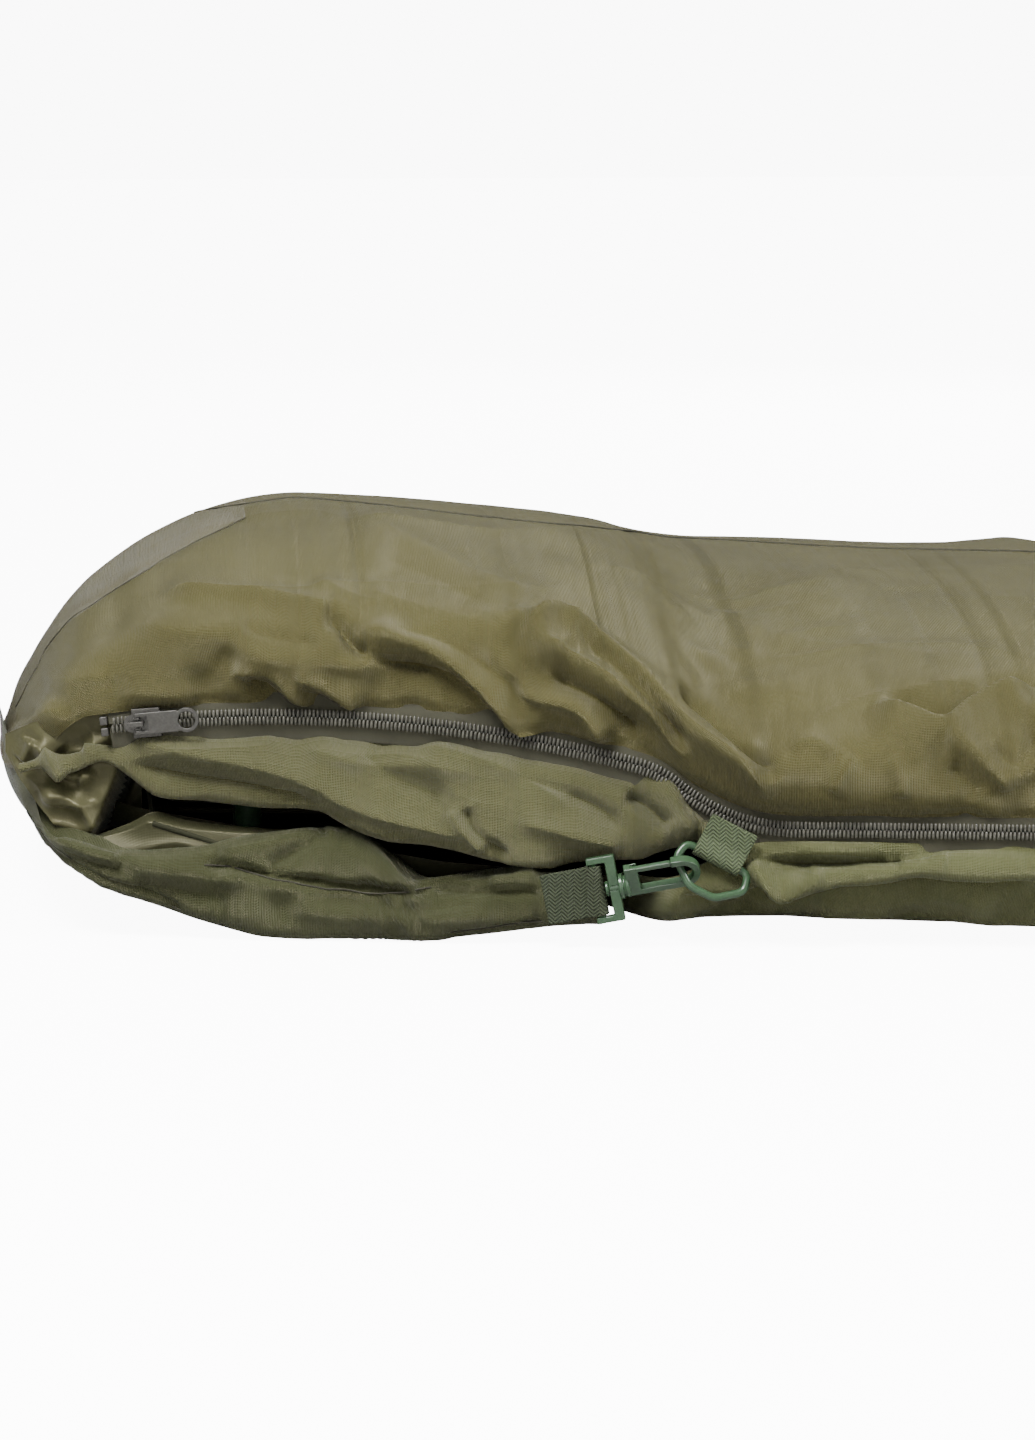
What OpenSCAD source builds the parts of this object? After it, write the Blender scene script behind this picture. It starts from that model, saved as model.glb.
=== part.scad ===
// Mummy sleeping bag lying on its back, head towards -X and foot towards +X.
// The origin is the middle of the flat underside, +Z is up, and the zip runs along the -Y side.
// All sizes are in millimetres.

/* [Bag] */
// Length of the filled bag from the crown of the hood to the toes
bag_len = 2150; // [1900:10:2300]
// Half the width where the side line of the hood would cross the crown
hood_half = 212; // [190:2:240]
// Angle at which the sides open from the hood to the shoulders
flare = 9; // [6:0.5:11]
// Angle at which the sides close from the shoulders to the foot
taper = 4.2; // [3:0.1:5]
// Distance from the crown to the middle of the shoulder bend
shoulder_at = 690; // [640:10:760]
// Height of the side seam and the long run of the zip above the ground
seam_z = 59.5; // [56:0.5:64]
// Height of the top panel above the side seam along the body
body_loft = 95.5; // [85:1:105]
// Extra height of the hood above the body
hood_loft = 20; // [0:1:30]

/* [Zip] */
// Radius of the long first curve of the zip beside the face
zip_ra = 700; // [660:2:740]
// Width of one zip tape
tape_w = 11; // [9:0.5:12]
// Thickness of the zip tape
tape_t = 0.8; // [0.6:0.1:1]
// Width of one row of coil
coil_w = 4; // [3.6:0.1:4.2]
// Height of the coil above the tape
coil_h = 2.6; // [2.2:0.1:3]
// Distance from the crown to the foot end of the zip
zip_foot_at = 1900; // [1700:10:1950]

/* [Hook] */
// Width of the webbing and of the hardware that it holds
web_w = 25; // [20:1:25]
// Thickness of the webbing
web_t = 1.4; // [1:0.1:1.8]
// Radius of the swivel stud of the snap hook
stud_r = 2.6; // [2.2:0.1:3]

/* [Hidden] */

olive = [0.40, 0.38, 0.29];
lining_green = [0.31, 0.32, 0.23];
wadding = [0.86, 0.86, 0.82];
tape_grey = [0.30, 0.29, 0.25];
coil_grey = [0.22, 0.21, 0.18];
gunmetal = [0.36, 0.36, 0.35];
webbing_green = [0.27, 0.31, 0.22];
plastic_green = [0.25, 0.36, 0.26];
steel = [0.6, 0.6, 0.62];

head_x = -bag_len / 2;
fit_gap = 0.3; // air left between pieces that only touch

// ---- Outline of the bag, as functions of t, the distance from the crown ----

shoulder_r = 520;
bend_len = shoulder_r * tan((flare + taper) / 2);
bend_from = shoulder_at - bend_len * cos(flare);
bend_to = shoulder_at + bend_len * cos(taper);
shoulder_half = hood_half + shoulder_at * tan(flare);
bend_c = [bend_from - shoulder_r * sin(flare),
          hood_half + bend_from * tan(flare) - shoulder_r * cos(flare)];
bend_x = bend_c[0] + 2 * shoulder_r * sin(flare);

function side_line(t) =
    t < bend_from ? hood_half + t * tan(flare)
    : t > bend_to ? shoulder_half - (t - shoulder_at) * tan(taper)
    : bend_c[1] + sqrt(pow(shoulder_r, 2) - pow(t - bend_x, 2));

// A quarter superellipse that rises from 0 at d = 0 to 1 at d = len.
function rounding(d, len, p) = d >= len ? 1 : pow(1 - pow(1 - max(d, 0) / len, p), 1 / p);

head_round = 170;
foot_round = 190;
function foot_turn(t) = rounding(bag_len - t, foot_round, 2.4);
function near_width(t) = side_line(t) * rounding(t, 58, 2.6) * foot_turn(t);
function far_width(t) = side_line(t) * rounding(t, head_round, 2.3) * foot_turn(t);

// A smooth step from 0 at a to 1 at b.
function ease(t, a, b) = let (q = min(1, max(0, (t - a) / (b - a)))) q * q * (3 - 2 * q);

crown_z = 70;
toe_z = 62;
function ground_z(t) =
    crown_z * (1 - rounding(t, 165, 2.2)) + toe_z * (1 - rounding(bag_len - t, 120, 2.2));
function far_edge_z(t) = seam_z + (crown_z - seam_z) * (1 - ease(t, 0, 520))
    + (toe_z - seam_z) * ease(t, bag_len - 350, bag_len);
function loft(t) = (body_loft + hood_loft * (1 - ease(t, 100, 670)) + 20 * ease(t, 1450, 1950))
    * rounding(t, 166, 1.7) * rounding(bag_len - t, 200, 2);

// ---- Path of the zip on the upright plane beside the hood, as [u, height, slope] ----

// u is measured along the side line from beside the crown.
slope_a = 14.6;
slope_b = 39.7;
zip_rb = 50;
zip_rc = 92;
start_slope = -7.2;
bend_u = 402;
ub = bend_u - zip_rc * sin(slope_b);
zb = seam_z + zip_rc * (1 - cos(slope_b));
ua = ub - zip_rb * (sin(slope_b) - sin(slope_a));
za = zb + zip_rb * (cos(slope_a) - cos(slope_b));
arc_a_c = [ua - zip_ra * sin(slope_a), za - zip_ra * cos(slope_a)];
arc_b_c = [ub - zip_rb * sin(slope_b), zb - zip_rb * cos(slope_b)];
arc_c_c = [bend_u, seam_z + zip_rc];
bend_from_u = bend_from / cos(flare);
taper_len = (zip_foot_at - bend_to) / cos(taper);

function zip_z(u) =
    u < ua ? arc_a_c[1] + sqrt(pow(zip_ra, 2) - pow(u - arc_a_c[0], 2))
    : u < ub ? arc_b_c[1] + sqrt(pow(zip_rb, 2) - pow(u - arc_b_c[0], 2))
    : u < bend_u ? arc_c_c[1] - sqrt(pow(zip_rc, 2) - pow(u - arc_c_c[0], 2))
    : seam_z;

// Places a child drawn as [along the side, up, outwards] on the upright plane beside the hood.
module on_side_plane()
    multmatrix([
        [cos(flare), 0, -sin(flare), head_x],
        [-sin(flare), 0, -cos(flare), -hood_half],
        [0, 1, 0, 0],
        [0, 0, 0, 1],
    ])
        children();

// Places a child drawn as [along the zip, across it, outwards] at a slope angle on the first curve.
module on_zip_curve(slope)
    on_side_plane()
        translate([arc_a_c[0], arc_a_c[1], 0])
            rotate([0, 0, -slope])
                translate([0, zip_ra, 0])
                    children();

// Places a child drawn as [along the zip, across it, outwards] on the straight run to the foot.
module on_taper_run(dist)
    translate([head_x + bend_to, -side_line(bend_to), 0])
        multmatrix([
            [cos(taper), 0, sin(taper), 0],
            [sin(taper), 0, -cos(taper), 0],
            [0, 1, 0, 0],
            [0, 0, 0, 1],
        ])
            translate([dist, seam_z, 0])
                children();

// The zip is made in sections with a hairline between them.
hairline = 0.04;
function hairline_angle(r) = hairline / r * 180 / PI;

// A polygon drawn as [across the zip, outwards], swept along a curve of the zip.
// dir is 1 where the zip bends down towards the foot and -1 where it bends up.
module zip_arc(centre, r, from, to, dir, pts)
    translate([centre[0], centre[1], 0])
        rotate([0, 0, dir > 0 ? 90 - to : -90 + from])
            rotate_extrude(angle = to - from - hairline_angle(r), $fn = 96)
                polygon([for (p = pts) [r + dir * p[0], p[1]]]);

// The whole zip path carries one polygon drawn as [across the zip, outwards].
module along_zip(pts) {
    on_side_plane() {
        zip_arc(arc_a_c, zip_ra, start_slope, slope_a, 1, pts);
        zip_arc(arc_b_c, zip_rb, slope_a, slope_b, 1, pts);
        zip_arc(arc_c_c, zip_rc, -slope_b, 0, -1, pts);
        translate([bend_u + hairline, seam_z, 0])
            rotate([90, 0, 90])
                linear_extrude(height = bend_from_u - bend_u - 2 * hairline)
                    polygon(pts);
    }
    translate([head_x + bend_x, -bend_c[1], seam_z])
        rotate([0, 0, -90 - flare])
            rotate_extrude(angle = flare + taper - hairline_angle(shoulder_r), $fn = 96)
                polygon([for (p = pts) [shoulder_r + p[1], p[0]]]);
    on_taper_run(hairline)
        rotate([90, 0, 90])
            linear_extrude(height = taper_len - hairline)
                polygon(pts);
}

// ---- Lofted soft panels ----

stations = concat(
    [1.5, 6, 14, 26, 42, 62, 88, 118, 150, 185, 225, 265],
    [for (t = [285:15:420]) t], [450, 500, 560, 600],
    [for (t = [630:17:766]) t], [for (t = [860:110:1740]) t],
    [1850, 1930, 2000, 2050, 2085, 2112, 2130, 2141, 2148.5] * bag_len / 2150
);
ring_steps = 14;

function shaped(c, n) = sign(c) * pow(abs(c), 2 / n);

shell_edge = 8; // height of the shell's edges above and below the middle of the zip
rim_z = 28; // height of the hood's rim where it ends at the webbing
// Height of the near lower edge of the top panel, just above the zip.
function top_near_z(t) =
    crown_z + (zip_z(t / cos(flare)) + shell_edge - crown_z) * ease(t, 0, 55)
    + (toe_z - seam_z - shell_edge) * ease(t, zip_foot_at, zip_foot_at + 150);
// Height of the rim of the hood and of the top edge of the base, below the side baffle.
function base_near_z(t) =
    t < 285 ? crown_z - 1 - (crown_z - 1 - rim_z) * ease(t, 0, 200)
    : rim_z + (seam_z - shell_edge - rim_z) * ease(t, 330, 480)
    + (toe_z - seam_z + shell_edge) * ease(t, zip_foot_at, zip_foot_at + 150);

// A point of a panel. side is 1 for the top panel and -1 for the panels below the seam.
// a runs from 0 at the near edge to 180 at the far edge.
// k holds the share of the length, the half width and the height at which its layer lies.
function panel_point(t, a, side, k) =
    let (c = shaped(cos(a), 2.4))
    let (w = (c > 0 ? near_width(t) : far_width(t)) * k[1])
    let (near = side > 0 ? top_near_z(t) : base_near_z(t), far = far_edge_z(t))
    let (edge = near + (far - near) * (1 - c) / 2 + side * fit_gap / 2)
    let (rise = side > 0 ? loft(t) + (far - near) * 0.35 * (1 + c) / 2
                         : edge - ground_z(t))
    let (s = side > 0 ? shaped(sin(a), 2.4) : min(1, 1.08 * pow(sin(a), 0.5)))
    [(head_x + t) * k[0], -w * c, edge + side * rise * k[2] * max(s, 0)];

// The wadding and the lining start a little way in from the near edge, clear of the zip's tape.
fill_start_top = 3.2;
fill_start_base = 1.6;
function ring_angles(side, start) = concat(
    start ? [] : [0],
    [side > 0 ? fill_start_top : fill_start_base],
    [for (i = [1:ring_steps]) 180 * i / ring_steps]);

// A closed sheet between an outer layer and an inner layer of a panel, over the given stations.
module panel(ts, side, outer, inner, set_back = true) {
    angles = ring_angles(side, set_back);
    n = len(ts);
    m = len(angles);
    pts = concat(
        [for (t = ts) for (a = angles) panel_point(t, a, side, outer)],
        [for (t = ts) for (a = angles) panel_point(t, a, side, inner)]
    );
    o = n * m;
    flip = side > 0;
    quads = concat(
        [for (j = [0:n - 2]) for (i = [0:m - 2])
            [j * m + i, j * m + i + 1, (j + 1) * m + i + 1, (j + 1) * m + i]],
        [for (j = [0:n - 2]) for (i = [0:m - 2])
            [o + (j + 1) * m + i, o + (j + 1) * m + i + 1, o + j * m + i + 1, o + j * m + i]],
        [for (j = [0:n - 2]) [(j + 1) * m, o + (j + 1) * m, o + j * m, j * m]],
        [for (j = [0:n - 2])
            [j * m + m - 1, o + j * m + m - 1, o + (j + 1) * m + m - 1, (j + 1) * m + m - 1]],
        [for (i = [0:m - 2]) [i, o + i, o + i + 1, i + 1]],
        [for (i = [0:m - 2])
            [(n - 1) * m + i + 1, o + (n - 1) * m + i + 1, o + (n - 1) * m + i, (n - 1) * m + i]]
    );
    tris = [for (q = quads) each [[q[0], q[1], q[2]], [q[0], q[2], q[3]]]];
    polyhedron(pts, [for (f = tris) flip ? [f[2], f[1], f[0]] : f], convexity = 8);
}

// Layers of the panels, as shares of the length, the half width and the height.
outside = [1, 1, 1];
shell_in = [0.9992, 0.9967, 0.987];
fill_out = [0.998, 0.993, 0.978];
fill_in = [0.974, 0.905, 0.66];
lining_out = [0.9737, 0.898, 0.645];
lining_in = [0.9734, 0.894, 0.63];
hood_end = 305;

head_stations = [for (t = stations) if (t <= hood_end) t];
base_stations = concat([hood_end + fit_gap], [for (t = stations) if (t > hood_end) t]);

module top_shell() { color(olive) panel(stations, 1, outside, shell_in, false); }
module top_insulation() { color(wadding) panel(stations, 1, fill_out, fill_in); }
module top_lining() { color(lining_green) panel(stations, 1, lining_out, lining_in); }
module base_shell() { color(olive) panel(base_stations, -1, outside, shell_in, false); }
module base_insulation() { color(wadding) panel(base_stations, -1, fill_out, fill_in); }
module base_lining() { color(lining_green) panel(base_stations, -1, lining_out, lining_in); }
module hood_shell() { color(olive) panel(head_stations, -1, outside, shell_in, false); }
module hood_insulation() { color(wadding) panel(head_stations, -1, fill_out, fill_in); }
module hood_lining() { color(lining_green) panel(head_stations, -1, lining_out, lining_in); }

// ---- Soft rolls that are swept along the zip ----

// A closed roll through points, each given as [u, height, outwards, half height, half depth].
module side_roll(path, sides) {
    n = len(path);
    pts = [for (p = path) for (i = [0:sides - 1])
        [p[0], p[1] + p[3] * sin(360 * i / sides), p[2] + p[4] * cos(360 * i / sides)]];
    rim = [for (j = [0:n - 2]) for (i = [0:sides - 1])
        let (q = (i + 1) % sides)
        each [[j * sides + i, j * sides + q, (j + 1) * sides + q],
              [j * sides + i, (j + 1) * sides + q, (j + 1) * sides + i]]];
    first = [[for (i = [sides - 1:-1:0]) i]];
    last = [[for (i = [0:sides - 1]) (n - 1) * sides + i]];
    polyhedron(pts, concat(rim, first, last), convexity = 6);
}

baffle_from = 62;
baffle_to = 400;
baffle_step = 13;
// Height of the free lower edge of the side baffle.
function baffle_low(u) = 74 - 37 * ease(u, 30, 250) + 6 * ease(u, 330, baffle_to);

module zip_side_baffle()
    color(olive)
        on_side_plane()
            side_roll([for (u = [baffle_from:baffle_step:baffle_to])
                let (top = zip_z(u) - shell_edge - 1.5, low = baffle_low(u))
                let (depth = 3 + 5 * ease(u, baffle_from, 120))
                [u, (top + low) / 2, tape_n - 0.4 - depth, (top - low) / 2, depth]], 12);

tube_r = 11;
module draft_tube()
    color(lining_green)
        on_side_plane()
            side_roll([for (u = [70:18:610]) [u, zip_z(u) - 6 - 4 * ease(u, 60, 250), -48, tube_r, tube_r]], 10);

// A round tube of radius r along points. up is any direction that the path never follows.
// The path is closed on itself when loop is true.
module tube(path, r, up, loop = false, sides = 16) {
    n = len(path);
    function ahead(j) = path[loop ? (j + 1) % n : min(j + 1, n - 1)] - path[j];
    function behind(j) = path[j] - path[loop ? (j + n - 1) % n : max(j - 1, 0)];
    function unit(v) = norm(v) == 0 ? v : v / norm(v);
    pts = [for (j = [0:n - 1])
        let (t = unit(unit(ahead(j)) + unit(behind(j))))
        let (across = unit(cross(t, up)), over = cross(across, t))
        for (i = [0:sides - 1])
            path[j] + r * (cos(360 * i / sides) * across + sin(360 * i / sides) * over)];
    rim = [for (j = [0:loop ? n - 1 : n - 2]) for (i = [0:sides - 1])
        let (q = (i + 1) % sides, b = ((j + 1) % n) * sides)
        each [[j * sides + i, b + q, j * sides + q], [j * sides + i, b + i, b + q]]];
    ends = loop ? [] : [[for (i = [0:sides - 1]) i],
                        [for (i = [sides - 1:-1:0]) (n - 1) * sides + i]];
    polyhedron(pts, concat(rim, ends), convexity = 6);
}

// ---- Zip ----

zip_gap = 0.8;
tape_n = -2.8; // how far the back of the tapes lies behind the side plane
module tape(dir)
    color(tape_grey)
        along_zip([[dir * zip_gap, tape_n], [dir * (zip_gap + tape_w), tape_n],
                   [dir * (zip_gap + tape_w), tape_n + tape_t], [dir * zip_gap, tape_n + tape_t]]);
module zip_tape_upper() tape(1);
module zip_tape_lower() tape(-1);

// The coil is drawn as one rounded rib on each tape.
coil_base = tape_n + tape_t;
module coil(dir)
    color(coil_grey)
        along_zip([[dir * zip_gap, coil_base], [dir * (zip_gap + coil_w), coil_base],
                   [dir * (zip_gap + coil_w), coil_base + coil_h * 0.55],
                   [dir * (zip_gap + coil_w * 0.72), coil_base + coil_h],
                   [dir * (zip_gap + coil_w * 0.28), coil_base + coil_h],
                   [dir * zip_gap, coil_base + coil_h * 0.55]]);
module zip_coil_upper() coil(1);
module zip_coil_lower() coil(-1);

module zip_top_stops()
    color(gunmetal)
        for (dir = [-1, 1])
            on_zip_curve(start_slope)
                translate([-2.2, dir * (zip_gap + coil_w / 2), coil_base + coil_h / 2])
                    cube([3.6, coil_w, coil_h + 1.4], center = true);

module zip_bottom_stop()
    color(gunmetal)
        on_taper_run(taper_len)
            translate([fit_gap, -(coil_w + zip_gap), tape_n])
                cube([7, 2 * (coil_w + zip_gap), coil_h + tape_t + 1]);

// ---- Sliders: two plates joined by a narrow post that runs between the coils ----

slider_len = 19;
slider_w = 14.5;
plate_t = 1.5;
run_gap = 0.35;
plate_low = tape_n - run_gap - plate_t;
plate_high = coil_base + coil_h + run_gap;
post_w = 1;

module slider_plate()
    linear_extrude(height = plate_t)
        union() {
            translate([-slider_len / 2 + 3, 0]) circle(d = slider_w * 0.62, $fn = 32);
            translate([-slider_len / 2 + 3, -slider_w / 2]) square([slider_len - 5, slider_w]);
            translate([slider_len / 2 - 4, -slider_w / 2 + 2]) square([4, slider_w - 4]);
        }

module slider_body()
    color(gunmetal) {
        translate([0, 0, plate_low]) slider_plate();
        translate([0, 0, plate_high]) slider_plate();
        translate([-slider_len / 2, -post_w / 2, plate_low])
            cube([6, post_w, plate_high - plate_low + plate_t]);
        for (dir = [-1, 1])
            translate([-slider_len / 2 + 3, dir * slider_w / 2 - (dir > 0 ? 1.2 : 0), coil_base + run_gap])
                cube([slider_len - 5, 1.2, plate_high - coil_base - run_gap + plate_t]);
        for (dir = [-1, 1])
            translate([pivot_x - 1.6, dir * 2.6 - 0.6, plate_high + plate_t])
                cube([3.2, 1.2, 2.7]);
        translate([pivot_x, 5.4, pivot_n])
            rotate([90, 0, 0])
                cylinder(h = 10.8, r = pin_r, $fn = 32);
    }

pin_r = 0.7;
pivot_x = -4;
pivot_n = plate_high + plate_t + 1.7;

// The spring cover over the pull's pin.
module slider_lock()
    color(gunmetal)
        difference() {
            translate([pivot_x - 4.2, -1.3, plate_high + plate_t + fit_gap / 3])
                cube([7.6, 2.6, 3.9]);
            translate([pivot_x - 3.2, -2, plate_high + plate_t - 1])
                cube([5.6, 4, 3.6]);
        }

// The pull tab lies along the closed chain at rest and ends in an open ring.
pull_len = 25;
ring_ro = 6.2;
ring_ri = 4.3;
module pull_tab()
    color(gunmetal)
        translate([pivot_x, 0, pivot_n])
            difference() {
                union() {
                    for (dir = [-1, 1])
                        translate([-1.5, dir * 4.5 - 0.9, -0.8])
                            cube([9, 1.8, 1.6]);
                    for (dir = [-1, 1])
                        translate([0, dir * 5.4, 0])
                            rotate([dir > 0 ? 90 : -90, 0, 0])
                                cylinder(h = 2.0, r = 1.6, $fn = 32);
                    translate([5.4, -5.4, -0.8]) cube([pull_len - 5.4 - ring_ri, 10.8, 1.6]);
                    translate([pull_len, 0, -0.8]) cylinder(h = 1.6, r = ring_ro, $fn = 48);
                }
                translate([pull_len, 0, -2]) cylinder(h = 4, r = ring_ri, $fn = 48);
                translate([0, 6, 0]) rotate([90, 0, 0]) cylinder(h = 12, r = pin_r + 0.06, $fn = 32);
            }

head_slope = start_slope + 1.55;
foot_slider_at = taper_len - slider_len / 2 - 2.8;

module head_slider_body() on_zip_curve(head_slope) slider_body();
module head_slider_lock() on_zip_curve(head_slope) slider_lock();
module head_pull_tab() on_zip_curve(head_slope) pull_tab();
module on_foot_slider() on_taper_run(foot_slider_at) rotate([0, 0, 180]) children();
module foot_slider_body() on_foot_slider() slider_body();
module foot_slider_lock() on_foot_slider() slider_lock();
module foot_pull_tab() on_foot_slider() pull_tab();

// ---- Snap hook, ring and their webbing ----

hook_u = 280; // where the webbing leaves the hood
hook_z = 24.8; // height of the middle of the webbing there
hook_n = 10; // how far the hook stands off the side plane
hook_tilt = 11; // angle at which the hook climbs towards the ring
hook_turn = 35; // how far the hook is turned on its stud so that the ring can cross it
bar_r = 2;
eye_r = bar_r + 0.25;
reach = 25; // from the hood's edge to the bar that the webbing goes round

module on_hook_line()
    on_side_plane()
        translate([hook_u, hook_z, hook_n])
            rotate([0, 0, hook_tilt])
                translate([reach, 0, 0])
                    children();

// Two plies of webbing from the seam to an eye round a bar at the origin.
module webbing_fold(len)
    translate([0, web_w / 2, 0])
        rotate([90, 0, 0])
            linear_extrude(height = web_w)
                difference() {
                    union() {
                        polygon([[-len, -web_t], [-8, -web_t], [-1, -eye_r - web_t],
                                 [-1, eye_r + web_t], [-8, web_t], [-len, web_t]]);
                        circle(r = eye_r + web_t, $fn = 40);
                    }
                    circle(r = eye_r, $fn = 40);
                    polygon([[-6.5, 0], [-1, -eye_r + 0.3], [-1, eye_r - 0.3]]);
                }

module hook_webbing_tab()
    color(webbing_green)
        on_hook_line()
            webbing_fold(reach + 2);

base_w = web_w + 5;
module hook_base()
    color(plastic_green)
        on_hook_line()
            difference() {
                union() {
                    translate([0, base_w / 2, 0])
                        rotate([90, 0, 0])
                            cylinder(h = base_w, r = bar_r, $fn = 32);
                    for (dir = [-1, 1])
                        translate([-3, dir * base_w / 2 - 1.6, -2.6])
                            cube([14, 3.2, 5.2]);
                    translate([6, -base_w / 2, -2.6]) cube([5, base_w, 5.2]);
                }
                translate([3, 0, 0])
                    rotate([0, 90, 0])
                        cylinder(h = 12, r = stud_r + 0.08, $fn = 32);
            }

// The hook turns on its stud. Its throat, at throat_x and throat_y, holds the ring.
throat_x = 43;
throat_y = 3;
throat_ri = 5.6;
hook_wall = 3.4;
hook_t = 4.4;
nose_x = throat_x - 4.5;
gate_u = 18.4;
gate_y = throat_y + throat_ri + hook_wall / 2 - 0.4;
gate_t = 2.6;
gate_gap = 0.15;
module along_stud(from) translate([from, 0, 0]) rotate([0, 90, 0]) children();
module on_hook() on_hook_line() rotate([hook_turn, 0, 0]) children();

module snap_hook()
    color(plastic_green)
        on_hook() {
            along_stud(4.1) cylinder(h = 12, r = stud_r, $fn = 32);
            along_stud(4.1) cylinder(h = 1.6, r = 3.8, $fn = 32);
            along_stud(11.2) cylinder(h = 2, r = 6.4, $fn = 40);
            along_stud(13.2) cylinder(h = 1.2, r = 5.2, $fn = 40);
            along_stud(14.4) cylinder(h = 1.6, r = 6, $fn = 40);
            translate([15, throat_y - throat_ri - hook_wall, -hook_t / 2])
                cube([throat_x - 15, hook_wall, hook_t]);
            difference() {
                translate([15, throat_y - throat_ri - 1, -hook_t / 2])
                    cube([6.5, gate_y + 3.4 - throat_y + throat_ri, hook_t]);
                translate([gate_u, gate_y, -1.35])
                    linear_extrude(height = 2.7)
                        union() {
                            circle(r = 2.2, $fn = 32);
                            translate([0, -2.2]) square([8, 8]);
                            translate([-1, -6]) square([8, 6]);
                        }
            }
            translate([gate_u, gate_y, 0]) cylinder(h = hook_t, r = 0.8, center = true, $fn = 32);
            translate([throat_x, throat_y, -hook_t / 2])
                difference() {
                    cylinder(h = hook_t, r = throat_ri + hook_wall, $fn = 48);
                    translate([0, 0, -1]) cylinder(h = hook_t + 2, r = throat_ri, $fn = 48);
                    translate([-20, -throat_ri, -1]) cube([20, 2 * throat_ri + 8, hook_t + 2]);
                }
            translate([nose_x, throat_y + throat_ri, -hook_t / 2])
                cube([throat_x - nose_x, hook_wall, hook_t]);
        }

// The gate closes the hook between its post and its nose and turns inwards on its own pin.
module hook_gate()
    color(plastic_green)
        on_hook()
            translate([gate_u, gate_y, 0])
                difference() {
                    union() {
                        cylinder(h = 2.4, r = 1.9, center = true, $fn = 32);
                        translate([0, -gate_t / 2, -1.2])
                            cube([nose_x - gate_u - gate_gap, gate_t, 2.4]);
                    }
                    cylinder(h = 6, r = 0.8 + 0.06, center = true, $fn = 32);
                }

// The webbing of the ring leaves the zip's lower tape and leads down to the hook's throat.
tab_tilt = 27; // lean of the webbing from straight down towards the crown
ring_lean = 25; // how far the ring leans outwards so that it can cross the hook
ring_reach = 19;
ring_wire = 2;
// The ring is a hexagon of round bar, drawn as [away from the webbing, across it].
ring_pts = [[0, 17], [9, 19], [19, 7], [19, -7], [9, -19], [0, -17]];
held = (ring_pts[3] + ring_pts[4]) / 2; // the middle of the bar that sits in the hook

tab_out = [-sin(tab_tilt), -cos(tab_tilt), 0];
tab_across = [cos(tab_tilt), -sin(tab_tilt), 0];
throat_at = [hook_u, hook_z, hook_n]
    + (reach + throat_x) * [cos(hook_tilt), sin(hook_tilt), 0]
    + throat_y * [-sin(hook_tilt) * cos(hook_turn), cos(hook_tilt) * cos(hook_turn), sin(hook_turn)];
eye_at = throat_at - held[0] * (cos(ring_lean) * tab_out + [0, 0, sin(ring_lean)])
    - held[1] * tab_across;

module on_ring_line()
    on_side_plane()
        translate(eye_at)
            rotate([0, 0, -90 - tab_tilt])
                children();

module ring_webbing_tab()
    color(webbing_green)
        on_ring_line()
            webbing_fold(ring_reach);

// The corners of the ring are rounded, each with a few points between its two bars.
corner_cut = 3.4;
function corner(a, b, c) =
    let (p = b + corner_cut * (a - b) / norm(a - b), q = b + corner_cut * (c - b) / norm(c - b))
    [for (k = [0:0.25:1]) (1 - k) * (1 - k) * p + 2 * k * (1 - k) * b + k * k * q];
ring_path = [for (i = [0:5])
    for (p = corner(ring_pts[(i + 5) % 6], ring_pts[i], ring_pts[(i + 1) % 6])) [p[0], p[1], 0]];

module hex_ring()
    color(plastic_green)
        on_ring_line()
            rotate([0, -ring_lean, 0])
                tube(ring_path, ring_wire, [0, 0, 1], loop = true);

// ---- Drawcord of the hood, with its lock inside the opening ----

cord_r = 1.5;
cord_pitch = 5.2; // between the two tails
lock_at = [120, 56, -70]; // along the side, height and outwards
tail_end = lock_at[0] + 50;
rim_side = [for (t = [260:-30:80]) [t / cos(flare), base_near_z(t) + cord_r + 1, -7]];
tail_start = lock_at[0] - 36;
cord_a = concat(rim_side, [[72, 66, -50], [tail_start, lock_at[1] + cord_pitch / 2, lock_at[2]],
                           [tail_end, lock_at[1] + cord_pitch / 2, lock_at[2]]]);
cord_b = [[72, 57, -52], [tail_start, lock_at[1] - cord_pitch / 2, lock_at[2]],
          [tail_end, lock_at[1] - cord_pitch / 2, lock_at[2]]];

module hood_drawcord()
    color(tape_grey)
        on_side_plane()
            for (path = [cord_a, cord_b])
                tube(path, cord_r, [0, 1, 0]);

lock_l = 20;
lock_w = 15;
press = 3;
bore_r = 4.9;
spring_h = 4;
module on_lock() on_side_plane() translate(lock_at) rotate([-90, 0, 0]) children();

module cord_lock_body()
    color(plastic_green)
        on_lock()
            difference() {
                translate([0, 0, -lock_l / 2]) cylinder(h = lock_l, r = lock_w / 2, $fn = 48);
                translate([0, 0, -lock_l / 2 + 1.6]) cylinder(h = lock_l, r = bore_r, $fn = 40);
                for (dir = [-1, 1])
                    translate([-lock_w, 0, dir * cord_pitch / 2])
                        rotate([0, 90, 0])
                            cylinder(h = 2 * lock_w, r = cord_r + 0.4, $fn = 32);
            }

module cord_lock_plunger()
    color(plastic_green)
        on_lock()
            difference() {
                translate([0, 0, -lock_l / 2 + 1.8 + spring_h])
                    cylinder(h = lock_l - 1.8 - spring_h + press + 2, r = bore_r - 0.05, $fn = 40);
                translate([-lock_w, -cord_r - 0.3, -cord_pitch / 2 - cord_r - 0.2])
                    cube([2 * lock_w, 2 * cord_r + 0.6, cord_pitch + 2 * cord_r + 0.4 + press]);
            }

module cord_lock_spring()
    color(steel)
        on_lock()
            translate([0, 0, -lock_l / 2 + 1.7])
                difference() {
                    cylinder(h = spring_h, r = 3.4, $fn = 32);
                    translate([0, 0, -1]) cylinder(h = spring_h + 2, r = 2.4, $fn = 32);
                }

// ---- Hanging loops at the foot ----

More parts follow.
